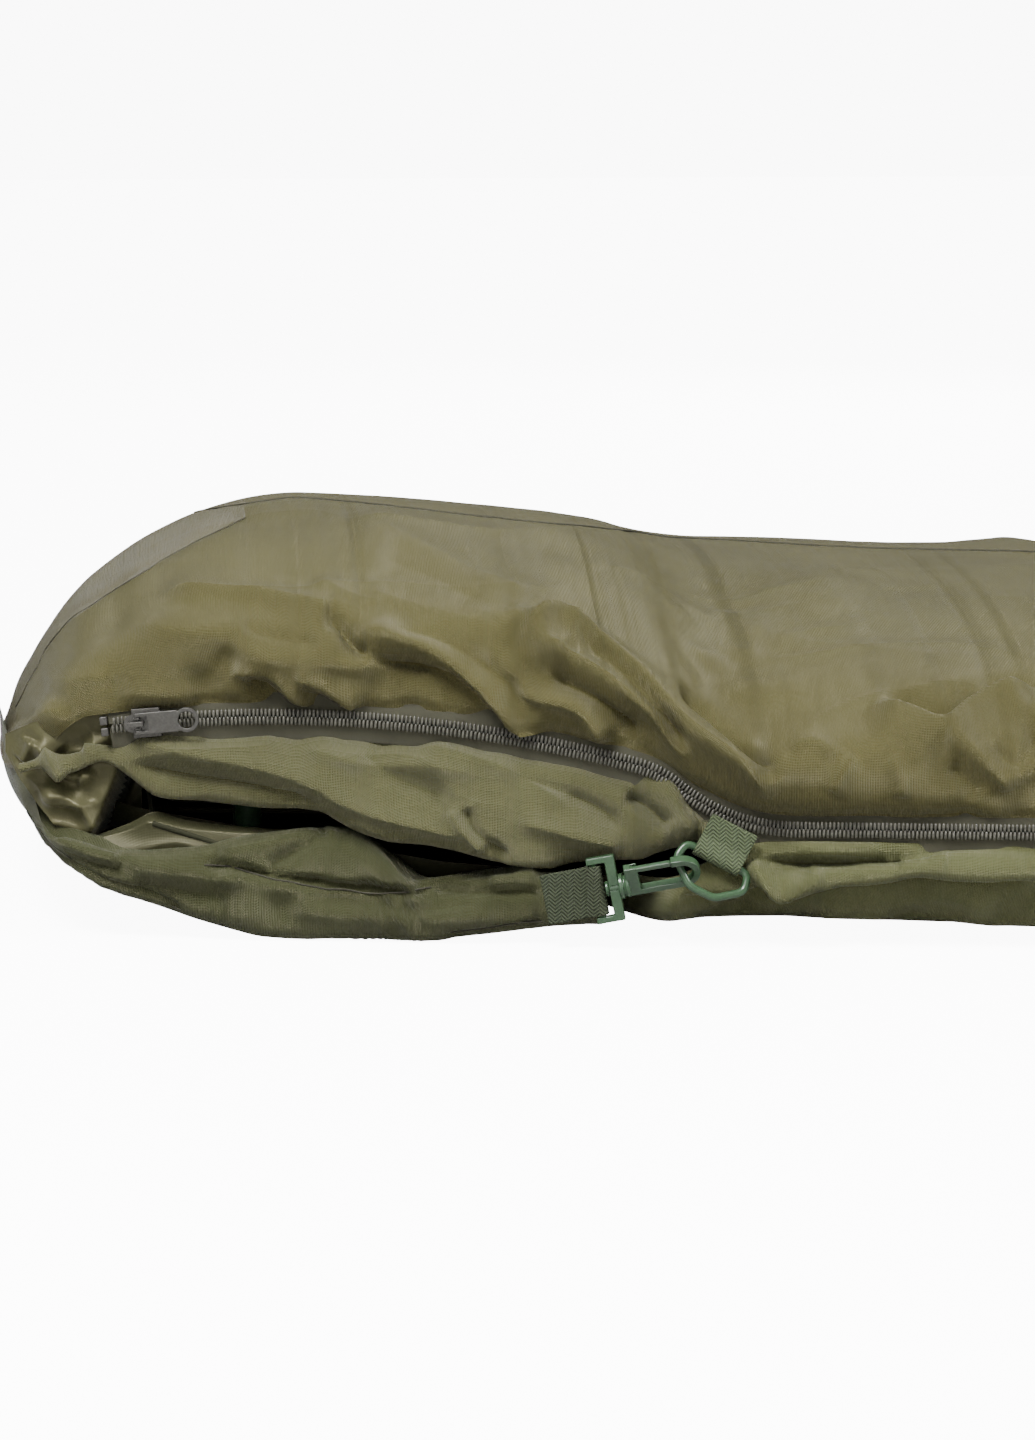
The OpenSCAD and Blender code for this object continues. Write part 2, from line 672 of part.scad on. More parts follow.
loop_y = 90;
loop_w = 20;
loop_eye = 9;
loop_set = 7.5; // how far the curve of the foot falls back at the loops
module foot_hang_loops()
    color(webbing_green)
        for (dir = [-1, 1])
            translate([bag_len / 2 + loop_eye + web_t - loop_set, dir * loop_y, toe_z])
                rotate([90, 0, 0])
                    difference() {
                        cylinder(h = loop_w, r = loop_eye + web_t, center = true, $fn = 48);
                        cylinder(h = loop_w + 2, r = loop_eye, center = true, $fn = 48);
                    }

top_shell();
top_insulation();
top_lining();
base_shell();
base_insulation();
base_lining();
hood_shell();
hood_insulation();
hood_lining();
zip_side_baffle();
draft_tube();
zip_tape_upper();
zip_tape_lower();
zip_coil_upper();
zip_coil_lower();
zip_top_stops();
zip_bottom_stop();
head_slider_body();
head_slider_lock();
head_pull_tab();
foot_slider_body();
foot_slider_lock();
foot_pull_tab();
hook_webbing_tab();
hook_base();
snap_hook();
hook_gate();
ring_webbing_tab();
hex_ring();
hood_drawcord();
cord_lock_body();
cord_lock_plunger();
cord_lock_spring();
foot_hang_loops();
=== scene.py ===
import math
import bpy
import numpy as np
from mathutils import Matrix, Vector


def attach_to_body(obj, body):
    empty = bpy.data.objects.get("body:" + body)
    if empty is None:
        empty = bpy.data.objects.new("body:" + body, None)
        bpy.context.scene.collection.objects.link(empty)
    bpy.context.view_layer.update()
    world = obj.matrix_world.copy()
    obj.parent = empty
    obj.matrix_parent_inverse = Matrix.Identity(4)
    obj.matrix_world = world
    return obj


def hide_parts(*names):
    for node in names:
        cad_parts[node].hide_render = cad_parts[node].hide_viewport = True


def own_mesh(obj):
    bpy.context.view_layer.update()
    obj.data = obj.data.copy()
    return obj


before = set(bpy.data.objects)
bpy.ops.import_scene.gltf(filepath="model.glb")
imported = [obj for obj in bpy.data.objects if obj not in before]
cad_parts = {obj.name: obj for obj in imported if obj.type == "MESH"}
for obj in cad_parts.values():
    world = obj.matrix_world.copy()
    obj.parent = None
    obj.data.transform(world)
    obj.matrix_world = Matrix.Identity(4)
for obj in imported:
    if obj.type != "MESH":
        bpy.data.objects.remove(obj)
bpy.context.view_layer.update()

# Sizes are in millimetres until a mesh is made.
MM = 0.001

# ---- Driving dimensions, the same as those of the CAD model ----

BAG_LEN = 2150
HOOD_HALF = 212
FLARE = math.radians(9)
TAPER = math.radians(4.2)
SHOULDER_AT = 690
SHOULDER_R = 520
SEAM_Z = 59.5
CROWN_Z = 70
TOE_Z = 62
ZIP_RA = 700
ZIP_RB = 50
ZIP_RC = 92
SLOPE_A = math.radians(14.6)
SLOPE_B = math.radians(39.7)
START_SLOPE = math.radians(-7.2)
BEND_U = 402
ZIP_FOOT_AT = 1900
TAPE_W = 11
TAPE_N = -2.8
TAPE_T = 0.8
HOOD_END = 305
HEAD_X = -BAG_LEN / 2
ROWS_FINE = 620
SQUARE = 2.4            # how square the bag's section is
LINING = (0.972, 0.9, 0.64)     # the lining's length, width and height against the shell's
FAR = 1e9
EDGE_GAP = 6.5          # from the line of the zip to the edge of a panel


# ---- Outline of the bag ----

def ease(t, a, b):
    """A smooth step from 0 at a to 1 at b."""
    q = np.clip((t - a) / (b - a), 0, 1)
    return q * q * (3 - 2 * q)


def rounding(d, length, power):
    """A quarter superellipse from 0 at d = 0 to 1 at d = length."""
    q = np.clip(1 - np.maximum(d, 0) / length, 0, 1)
    return (1 - q ** power) ** (1 / power)


def hump(d, at, size):
    """A bell with its top at a place and a half width."""
    return np.exp(-((d - at) / size) ** 2)


def unit(v):
    return v / np.linalg.norm(v, axis=-1, keepdims=True)


def blur(p):
    """Smooths a line or a grid along its first axis."""
    p[1:-1] = 0.25 * p[:-2] + 0.5 * p[1:-1] + 0.25 * p[2:]


def shaped(c, n):
    """A cosine or sine on a superellipse."""
    return np.sign(c) * np.abs(c) ** (2 / n)


bend_len = SHOULDER_R * math.tan((FLARE + TAPER) / 2)
bend_from = SHOULDER_AT - bend_len * math.cos(FLARE)
bend_to = SHOULDER_AT + bend_len * math.cos(TAPER)
shoulder_half = HOOD_HALF + SHOULDER_AT * math.tan(FLARE)
bend_c = (bend_from - SHOULDER_R * math.sin(FLARE),
          HOOD_HALF + bend_from * math.tan(FLARE) - SHOULDER_R * math.cos(FLARE))
bend_x = bend_c[0] + 2 * SHOULDER_R * math.sin(FLARE)


def on_arc(centre, radius, t, way=1):
    """Height over t of the upper half of a circle, or of the lower one for way = -1."""
    return centre[1] + way * np.sqrt(np.maximum(radius ** 2 - (t - centre[0]) ** 2, 1))


def side_line(t):
    arc = on_arc((bend_x, bend_c[1]), SHOULDER_R, t)
    line = np.where(t > bend_to, shoulder_half - (t - SHOULDER_AT) * math.tan(TAPER), arc)
    return np.where(t < bend_from, HOOD_HALF + t * math.tan(FLARE), line)


def near_width(t):
    return side_line(t) * rounding(t, 58, 2.6) * rounding(BAG_LEN - t, 190, 2.4)


def far_width(t):
    return side_line(t) * rounding(t, 170, 2.3) * rounding(BAG_LEN - t, 190, 2.4)


def ground_z(t):
    return CROWN_Z * (1 - rounding(t, 165, 2.2)) + TOE_Z * (1 - rounding(BAG_LEN - t, 120, 2.2))


def far_edge_z(t):
    return (SEAM_Z + (CROWN_Z - SEAM_Z) * (1 - ease(t, 0, 520))
            + (TOE_Z - SEAM_Z) * ease(t, BAG_LEN - 350, BAG_LEN))


def loft(t):
    body = 95.5 + 20 * (1 - ease(t, 100, 670)) + 20 * ease(t, 1450, 1950)
    return body * rounding(t, 166, 1.7) * rounding(BAG_LEN - t, 200, 2)


# ---- Path of the zip on the upright plane beside the hood ----

ub = BEND_U - ZIP_RC * math.sin(SLOPE_B)
zb = SEAM_Z + ZIP_RC * (1 - math.cos(SLOPE_B))
ua = ub - ZIP_RB * (math.sin(SLOPE_B) - math.sin(SLOPE_A))
za = zb + ZIP_RB * (math.cos(SLOPE_A) - math.cos(SLOPE_B))
arc_a = (ua - ZIP_RA * math.sin(SLOPE_A), za - ZIP_RA * math.cos(SLOPE_A))
arc_b = (ub - ZIP_RB * math.sin(SLOPE_B), zb - ZIP_RB * math.cos(SLOPE_B))
arc_c = (BEND_U, SEAM_Z + ZIP_RC)


def zip_z(u):
    z = np.where(u < ub, on_arc(arc_b, ZIP_RB, u), on_arc(arc_c, ZIP_RC, u, -1))
    z = np.where(u < ua, on_arc(arc_a, ZIP_RA, u), z)
    return np.where(u > BEND_U, SEAM_Z, z)


def on_side(u, z, n):
    """World place of a point beside the hood: along the side, height, outwards."""
    u, z, n = np.broadcast_arrays(u, z, n)
    return np.stack([HEAD_X + u * math.cos(FLARE) - n * math.sin(FLARE),
                     -HOOD_HALF - u * math.sin(FLARE) - n * math.cos(FLARE), z], -1)


# ---- The camera, and places as they look from it ----

AZ = math.radians(-5)
EL = math.radians(9)
DIST = 2300
back = np.array([math.sin(AZ) * math.cos(EL), -math.cos(AZ) * math.cos(EL), math.sin(EL)])
right = np.array([math.cos(AZ), math.sin(AZ), 0])
up = np.cross(back, right)
target = on_side(264.0, 113.0, 0.0)
eye = target + DIST * back
MID_X = 256.25
MID_H = 110


def seen(p):
    """Side-view coordinates of points: x from the tip of the hood and h from the ground."""
    v = p - eye
    depth = -(v @ back)
    return MID_X + DIST * (v @ right) / depth, MID_H + DIST * (v @ up) / depth


def unseen(x, h, n):
    """The u and z of the side-view point (x, h) on the plane that stands n off the side."""
    ray = -back + np.multiply.outer(np.asarray(x, float) - MID_X, right) / DIST
    ray = ray + np.multiply.outer(np.asarray(h, float) - MID_H, up) / DIST
    normal = np.array([-math.sin(FLARE), -math.cos(FLARE), 0])
    k = ((on_side(0.0, 0.0, n) - eye) @ normal) / (ray @ normal)
    p = eye + ray * np.asarray(k)[..., None] - on_side(0.0, 0.0, 0.0)
    return p @ np.array([math.cos(FLARE), -math.sin(FLARE), 0]), p[..., 2]


# ---- Meshes from grids of points ----

def smooth_path(points, step=3.0):
    """A curve through points, with a point every few millimetres."""
    p = np.array(points, float)
    p = np.vstack([2 * p[0] - p[1], p, 2 * p[-1] - p[-2]])
    out = []
    for i in range(1, len(p) - 2):
        a, b, c, d = p[i - 1:i + 3]
        count = max(2, int(np.linalg.norm(c - b) / step))
        for q in np.arange(count) / count:
            out.append(0.5 * (2 * b + (c - a) * q + (2 * a - 5 * b + 4 * c - d) * q ** 2
                              + (3 * b - a - 3 * c + d) * q ** 3))
    out.append(p[-2])
    return np.array(out)


def smooth_rail(points, n, u):
    """Height at every u of a rail that is drawn in the side view, n off the side."""
    path = smooth_path(points)
    return np.interp(u, *unseen(path[:, 0], path[:, 1], n))


def grid_normals(p):
    n = np.cross(*np.gradient(p, axis=(0, 1)))
    return n / np.maximum(np.linalg.norm(n, axis=2, keepdims=True), 1e-9)


def add_object(name, data):
    obj = bpy.data.objects.new(name, data)
    bpy.context.scene.collection.objects.link(obj)
    return obj


def make_mesh(name, verts, faces, material, uvs=None):
    mesh = bpy.data.meshes.new(name)
    mesh.from_pydata((np.asarray(verts) * MM).tolist(), [], np.asarray(faces).tolist())
    if uvs is not None:
        layer = mesh.uv_layers.new(name="cloth")
        loops = np.empty(len(mesh.loops), int)
        mesh.loops.foreach_get("vertex_index", loops)
        layer.data.foreach_set("uv", (np.asarray(uvs) * MM)[loops].ravel())
    mesh.polygons.foreach_set("use_smooth", np.full(len(mesh.polygons), True))
    mesh.materials.append(material)
    mesh.update()
    return add_object(name, mesh)


def grid_faces(rows, cols, closed=False, flip=False):
    r = np.arange(rows - 1)[:, None]
    c = np.arange(cols if closed else cols - 1)
    a = r * cols + c
    b = r * cols + (c + 1) % cols
    quads = np.stack([a, b, b + cols, a + cols], -1).reshape(-1, 4)
    return quads[:, ::-1] if flip else quads


def lengths(p, axis):
    """Distance of every point of a grid from the start of its row or column."""
    step = np.diff(p, axis=axis, prepend=p.take([0], axis))
    return np.cumsum(np.linalg.norm(step, axis=2), axis=axis)


def grid_object(name, p, material, flip=False, closed=False):
    rows, cols = p.shape[:2]
    uv = np.stack([lengths(p, 0)[:, :1] + 0 * p[..., 0], lengths(p, 1)], -1)
    return make_mesh(name, p.reshape(-1, 3), grid_faces(rows, cols, closed, flip), material,
                     uv.reshape(-1, 2))


def second_material(obj, material, chosen):
    """Gives the chosen faces of a grid another material."""
    obj.data.materials.append(material)
    obj.data.polygons.foreach_set("material_index", chosen.ravel().astype(np.int32))


def attach(obj, slot, *nodes, body="bag"):
    """Rides a piece on its body and hides the CAD nodes that it replaces; the slot is not used."""
    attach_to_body(obj, body)
    if nodes:
        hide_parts(*nodes)


def even(p, shares):
    """Respaces every row of a grid by the share of its length."""
    out = np.empty((len(p), len(shares), 3))
    for i, (row, d) in enumerate(zip(p, lengths(p, 1))):
        for k in range(3):
            out[i, :, k] = np.interp(shares * d[-1], d, row[:, k])
    return out


def between(fine, coarse):
    """Weights that blend coarse samples into fine ones along one side of a grid."""
    at = np.interp(fine, coarse, np.arange(len(coarse)))
    i = np.clip(at.astype(int), 0, len(coarse) - 2)
    q = at - i
    w = np.zeros((len(fine), len(coarse)))
    rows = np.arange(len(fine))
    parts = [(-1, -0.5 * q + q ** 2 - 0.5 * q ** 3), (0, 1 - 2.5 * q ** 2 + 1.5 * q ** 3),
             (1, 0.5 * q + 2 * q ** 2 - 1.5 * q ** 3), (2, -0.5 * q ** 2 + 0.5 * q ** 3)]
    for shift, share in parts:
        np.add.at(w, (rows, np.clip(i + shift, 0, len(coarse) - 1)), share)
    return w


# ---- Folds, puckers and noise ----

def fold(field, x, h, path, height, left, right_w, sharp, fade, mask=1.0):
    """Adds a ridge, or a valley for a negative height, along a path drawn in the side view."""
    line = smooth_path(path, 4.0)
    reach = 3.2 * max(left, right_w)
    near = ((x > line[:, 0].min() - reach) & (x < line[:, 0].max() + reach)
            & (h > line[:, 1].min() - reach) & (h < line[:, 1].max() + reach))
    if not near.any():
        return
    px = np.stack([x[near], h[near]], -1)
    best = np.full(len(px), 1e9)
    side = np.zeros(len(px))
    share = np.zeros(len(px))
    seg = np.diff(line, axis=0)
    size = np.linalg.norm(seg, axis=1)
    run = lengths(line[None], 1)[0]
    for i in range(len(seg)):
        rel = px - line[i]
        q = np.clip((rel @ seg[i]) / size[i] ** 2, 0, 1)
        off = rel - q[:, None] * seg[i]
        d = np.hypot(off[:, 0], off[:, 1])
        closer = d < best
        best[closer] = d[closer]
        cross = seg[i][0] * rel[:, 1] - seg[i][1] * rel[:, 0]
        side[closer] = cross[closer]
        share[closer] = ((run[i] + q * size[i]) / run[-1])[closer]
    width = np.where(side > 0, left, right_w)
    ends = ease(share, -0.02, fade) * ease(1 - share, -0.02, fade)
    bump = height * ends * np.exp(-(best / width) ** sharp)
    field[near] += bump * np.broadcast_to(mask, x.shape)[near]


def folded(p, folds, out, turning, reach, sharp, fade):
    """The field of a panel's folds: each has a path, a height, one or two widths and a fade.

    Folds fade where the panel turns away from the camera, and end at a reach from its near edge."""
    x, h = seen(p)
    facing = ease(out * grid_normals(p) @ back, *turning) * (lengths(p, 1) < reach)
    field = np.zeros(x.shape)
    for path, height, left, *rest in folds:
        right_w = rest[0] if rest else left
        fold(field, x, h, path, height, left, right_w, sharp, rest[1] if rest[1:] else fade, facing)
    return field


def noise(x, y, size_x, size_y, seed):
    """Smooth noise from -1 to 1."""
    lattice = np.random.default_rng(seed).uniform(-1, 1, (64, 64))
    gx = x / size_x + 100
    gy = y / size_y + 100
    ix = np.floor(gx).astype(int)
    iy = np.floor(gy).astype(int)
    fx = ease(gx - ix, 0, 1)
    fy = ease(gy - iy, 0, 1)

    def at(a, b):
        return lattice[a % 64, b % 64]
    low = at(ix, iy) * (1 - fx) + at(ix + 1, iy) * fx
    high = at(ix, iy + 1) * (1 - fx) + at(ix + 1, iy + 1) * fx
    return low * (1 - fy) + high * fy


def ridged(x, y, size_x, size_y, seed):
    """Noise with narrow ridges, from 0 to 1."""
    return (1 - np.abs(noise(x, y, size_x, size_y, seed))) ** 2.5


def puckers(along, away, height, wave, reach, seed):
    """Short gathers that run away from a seam and fade."""
    lean = 0.5 * noise(along, away, 70, 200, seed + 3)
    wavy = noise(along + lean * away, away, wave, 90, seed)
    fine = noise(along + lean * away, away, wave * 0.45, 60, seed + 1)
    fading = np.exp(-(away / reach) ** 1.3) * ease(away, -0.1, 3)
    return height * fading * (wavy + 0.5 * fine * np.exp(-away / 10)) \
        * (0.55 + 0.45 * noise(along, away * 0, 120, 1, seed + 2))


# ---- Cloth settling ----

CLOTH_HOLD = 0.03
CLOTH_REACH = 9         # the furthest that the cloth may shift
CLOTH = dict(quality=5, mass=0.15, tension_stiffness=8, compression_stiffness=8,
             shear_stiffness=3, bending_stiffness=1.0, air_damping=3, vertex_group_mass="sewn",
             pin_stiffness=1.0, shrink_min=-0.018, use_pressure=True,
             uniform_pressure_force=0.15)


def settle(grids, frames=16):
    """Lets loose cloth find its own wrinkles over its wadding.

    Each grid becomes a cloth that is a little larger than its wadding. Its edges are sewn down,
    and the wadding holds the rest of it softly."""
    made = []
    for grid in grids:
        rows, cols = grid.shape[:2]
        obj = make_mesh("settling", grid.reshape(-1, 3), grid_faces(rows, cols), shell_mat)
        edge = np.ones((rows, cols), bool)
        edge[1:-1, 1:-1] = False
        pins = obj.vertex_groups.new(name="sewn")
        pins.add(np.flatnonzero(~edge.ravel()).tolist(), CLOTH_HOLD, "REPLACE")
        pins.add(np.flatnonzero(edge.ravel()).tolist(), 1.0, "REPLACE")
        mod = obj.modifiers.new("cloth", "CLOTH")
        for key, value in CLOTH.items():
            setattr(mod.settings, key, value)
        mod.settings.effector_weights.gravity = 0
        mod.collision_settings.use_collision = False
        mod.point_cache.frame_start = 1
        mod.point_cache.frame_end = frames
        made.append(obj)
    scene = bpy.context.scene
    for f in range(1, frames + 1):
        scene.frame_set(f)
    graph = bpy.context.evaluated_depsgraph_get()
    out = []
    for obj, grid in zip(made, grids):
        moved = obj.evaluated_get(graph).data
        co = np.empty(len(moved.vertices) * 3)
        moved.vertices.foreach_get("co", co)
        shift = co.reshape(grid.shape) / MM - grid
        slow = shift.copy()
        for _ in range(24):
            blur(slow)
            blur(slow.swapaxes(0, 1))
        shift = shift - 0.9 * slow
        size = np.linalg.norm(shift, axis=2, keepdims=True)
        out.append(shift * np.minimum(1, CLOTH_REACH / np.maximum(size, 1e-6)))
    scene.frame_set(1)
    for obj in made:
        bpy.data.objects.remove(obj)
    return out


# ---- Materials ----

TONES = 0.1             # share by which the tone of a fabric wanders
GRAIN_SIZE = 1.2
RIB_PITCH = 1.9
RIB_COLUMN = 3.1


def new_material(name):
    mat = bpy.data.materials.new(name)
    mat.use_nodes = True
    tree = mat.node_tree
    shader = tree.nodes["Principled BSDF"]
    return mat, tree, shader


def link(a, b):
    a.id_data.links.new(a, b)


def new_node(tree, kind, **inputs):
    """A node of a kind with values for some of its inputs."""
    node = tree.nodes.new("ShaderNode" + kind)
    set_inputs(node, inputs)
    return node


def set_inputs(node, inputs):
    for key, value in inputs.items():
        node.inputs[key].default_value = value


def calc(kind, a, b=None):
    node = new_node(a.id_data, "Math")
    node.operation = kind
    for socket, value in zip(node.inputs, (a, b)):
        if isinstance(value, (int, float)):
            socket.default_value = value
        elif value is not None:
            link(value, socket)
    return node.outputs[0]


def split_up(vector):
    """The x, y and z of a vector."""
    parts = new_node(vector.id_data, "SeparateXYZ")
    link(vector, parts.inputs[0])
    return parts.outputs


def new_texture(tree, size, detail):
    """Noise in object space."""
    coord = new_node(tree, "TexCoord")
    texture = new_node(tree, "TexNoise", Scale=size, Detail=detail)
    link(coord.outputs["Object"], texture.inputs["Vector"])
    return texture.outputs[0]


def ramp_between(source, target, dark, light, low=0.0, high=1.0):
    """A ramp from a dark to a light colour, from source to target."""
    ramp = new_node(source.id_data, "ValToRGB")
    for element, position, colour in zip(ramp.color_ramp.elements, (low, high), (dark, light)):
        element.position = position
        element.color = [min(1, c) for c in colour] + [1]
    link(source, ramp.inputs[0])
    link(ramp.outputs[0], target)


def relief(shader, height, strength, depth):
    """Bump of a depth in millimetres."""
    bump = new_node(shader.id_data, "Bump", Strength=strength, Distance=depth * MM)
    link(height, bump.inputs["Height"])
    link(bump.outputs[0], shader.inputs["Normal"])


def scaled(colour, by):
    return [c * by for c in colour]


def fabric(name, colour, weave=0.7, rough=0.31, sheen=0.06, cell=1.6, ripstop=0.0):
    """Woven cloth: small diamonds from two crossed waves, with slow changes of tone."""
    mat, tree, shader = new_material(name)
    uv = new_node(tree, "UVMap")
    uv.uv_map = "cloth"
    parts = split_up(uv.outputs[0])
    k = 2 * math.pi / (cell * MM)
    across = calc("MULTIPLY", parts[0], k)
    along = calc("MULTIPLY", parts[1], k)
    one = calc("SINE", calc("ADD", across, along))
    two = calc("SINE", calc("SUBTRACT", across, along))
    height = calc("MULTIPLY", one, two)
    if ripstop > 0:
        lines = []
        for part in parts[:2]:
            wave = calc("COSINE", calc("MULTIPLY", part, k / 4))
            lines.append(calc("POWER", calc("MAXIMUM", wave, 0.0), 10.0))
        squares = calc("MAXIMUM", *lines)
        height = calc("ADD", height, calc("MULTIPLY", squares, ripstop))
    ramp_between(new_texture(tree, 14, 4), shader.inputs["Base Color"],
                 scaled(colour, 1 - TONES), scaled(colour, 1 + TONES), 0.3, 0.7)
    relief(shader, height, weave, 0.5)
    set_inputs(shader, {"Roughness": rough, "Sheen Weight": sheen, "Sheen Roughness": 0.4,
                        "Specular IOR Level": 0.44, "Specular Tint": (0.9, 0.84, 0.58, 1)})
    return mat


def solid(name, colour, rough, metal=0.0, coat=0.0, speckle=0.12):
    """A hard material with a fine grain."""
    mat, tree, shader = new_material(name)
    grain = new_texture(tree, 1 / (GRAIN_SIZE * MM), 3)
    ramp_between(grain, shader.inputs["Base Color"],
                 scaled(colour, 1 - speckle), scaled(colour, 1 + speckle), 0.35, 0.65)
    relief(shader, grain, 0.15, 0.1)
    set_inputs(shader, {"Roughness": rough, "Metallic": metal, "Coat Weight": coat})
    return mat


def webbing_material(name, colour):
    """Herringbone: diagonal ribs that change direction in columns."""
    mat, tree, shader = new_material(name)
    parts = split_up(new_node(tree, "TexCoord").outputs["Object"])
    k = 2 * math.pi / (RIB_PITCH * MM)
    column = calc("PINGPONG", parts[0], RIB_COLUMN * MM)
    slant = calc("ADD", calc("MULTIPLY", parts[2], k),
                 calc("MULTIPLY", column, k * 0.9))
    rib = calc("SINE", slant)
    share = calc("ADD", calc("MULTIPLY", rib, 0.5), 0.5)
    ramp_between(share, shader.inputs["Base Color"],
                 scaled(colour, 0.55), scaled(colour, 1.25))
    relief(shader, rib, 0.6, 0.4)
    set_inputs(shader, {"Roughness": 0.8})
    return mat


# Each fabric has a colour and, where not the shell's, its weave, roughness and sheen.
shell_mat = fabric("shell_fabric_look", (0.094, 0.086, 0.034))
# The lower hood's fabric: its greener hue is the fabric's own, and its darker tone is painted shade
# of the hood's underside.
under_shade_mat = fabric("under_fabric_painted_shade_look", (0.054, 0.059, 0.027))
base_mat = fabric("base_fabric_look", (0.112, 0.119, 0.053))
band_mat = fabric("hood_band_look", (0.128, 0.115, 0.056), 1.0, 0.4, 0.12, ripstop=0.8)
baffle_mat = fabric("baffle_look", (0.124, 0.124, 0.058), 0.9, 0.28, 0.1, ripstop=0.8)
lining_mat = fabric("lining_look", (0.066, 0.064, 0.031), 0.16, 0.33, 0.1)
# The lining behind the lower hood's rim is darkened with painted shade.
lip_shade_mat = fabric("lip_lining_painted_shade_look", (0.034, 0.035, 0.017), 0.16, 0.4, 0.05)
# A near-black lining colour: painted shade for the insides of the bag, where little light reaches.
painted_shade_mat = fabric("painted_shade_lining_look", (0.016, 0.017, 0.008), 0.16, 0.5, 0.05)
tape_mat = fabric("tape_look", (0.095, 0.093, 0.066), 0.8, 0.8, 0.1, cell=1.0)
cord_mat = fabric("cord_look", (0.014, 0.016, 0.009), 0.8, 0.8, 0.02, cell=1.0)
coil_mat = solid("coil_look", (0.095, 0.092, 0.074), 0.33, speckle=0.42)
metal_mat = solid("slider_look", (0.085, 0.082, 0.074), 0.38, metal=0.6)
plastic_mat = solid("plastic_look", (0.036, 0.078, 0.036), 0.3, coat=0.25)
web_mat = webbing_material("webbing_look", (0.032, 0.042, 0.018))
web_light_mat = webbing_material("ring_webbing_look", (0.068, 0.090, 0.040))
steel_mat = solid("spring_look", (0.55, 0.55, 0.56), 0.3, metal=1.0)
thread_mat = solid("thread_look", (0.035, 0.034, 0.020), 0.8)


# ---- The top panel ----

# Seams and folds are drawn as they look from the camera: millimetres from the tip of the
# hood and from the ground.
BAND = [(8, 117), (29, 154), (56, 174), (97, 199), (122, 211)]
CREST_SEAM = [(96, 213), (132, 219), (150, 220.5), (185, 217), (237, 211), (290, 206), (360, 200),
              (430, 196), (515, 194)]


def stations(fine, coarse, stop=BAG_LEN - 0.05, dense_to=ROWS_FINE):
    """Distances from the crown: close together at the crown, the zip and the toes."""
    crown = 0.05 + 60 * np.linspace(0, 1, max(8, int(110 / fine)))[:-1] ** 2
    hood = np.arange(60, dense_to, fine)
    body = np.arange(dense_to, stop - 60, coarse)
    toes = stop - 60 * np.linspace(1, 0, max(6, int(90 / coarse) + 6)) ** 2
    return np.concatenate([crown, hood, body, toes])


def zip_gap(t):
    """1 along the zip, falling to 0 where the panels meet past its foot end."""
    return 1 - ease(t, ZIP_FOOT_AT, ZIP_FOOT_AT + 24)


def top_edge_z(t):
    """Height of the near edge of the top panel, just above the zip."""
    run = zip_z(t / math.cos(FLARE)) + EDGE_GAP * zip_gap(t)
    return (CROWN_Z + (run - CROWN_Z) * ease(t, 0, 50)
            + (TOE_Z - SEAM_Z) * ease(t, ZIP_FOOT_AT, ZIP_FOOT_AT + 150))


def top_section(t, size=(1, 1, 1), samples=240):
    """Rows that run over the top, from the near edge to the far one."""
    a = np.linspace(0, math.pi, samples)
    t = t[:, None]
    c = shaped(np.cos(a), SQUARE)
    high = np.clip(shaped(np.sin(a), 2.0) * 1.3, 0, 1)
    sleek = rounding(t, 104, 2.6) / np.maximum(rounding(t, 58, 2.6), 1e-3)
    near_w = near_width(t) * (1 + (sleek - 1) * high)
    width = np.where(c > 0, near_w, far_width(t)) * size[1]
    near = top_edge_z(t)
    far = far_edge_z(t)
    edge = near + (far - near) * (1 - c) / 2
    rise = (loft(t) + (far - near) * 0.35 * (1 + c) / 2) * (1 - 0.7 * np.exp(-t / 17))
    z = edge + rise * size[2] * np.maximum(shaped(np.sin(a), SQUARE), 0)
    z = np.maximum(z, edge)
    x = (HEAD_X + t) * size[0] + 0 * a
    return np.stack([x, -width * c, z], -1)


def top_grid(ts, shares):
    """The top panel before its folds: puffed out over the zip, with its hem turned in."""
    p = even(top_section(ts), shares)
    n = grid_normals(p)
    g = lengths(p, 1)
    along = ts[:, None]
    body = ease(along, 20, 90) * (1 - ease(along, BAG_LEN - 160, BAG_LEN - 20))
    puff = 9 * hump(g, 27, 20) - 4.2 * hump(g, 0, 4.5)
    return p + n * (puff * body)[..., None]


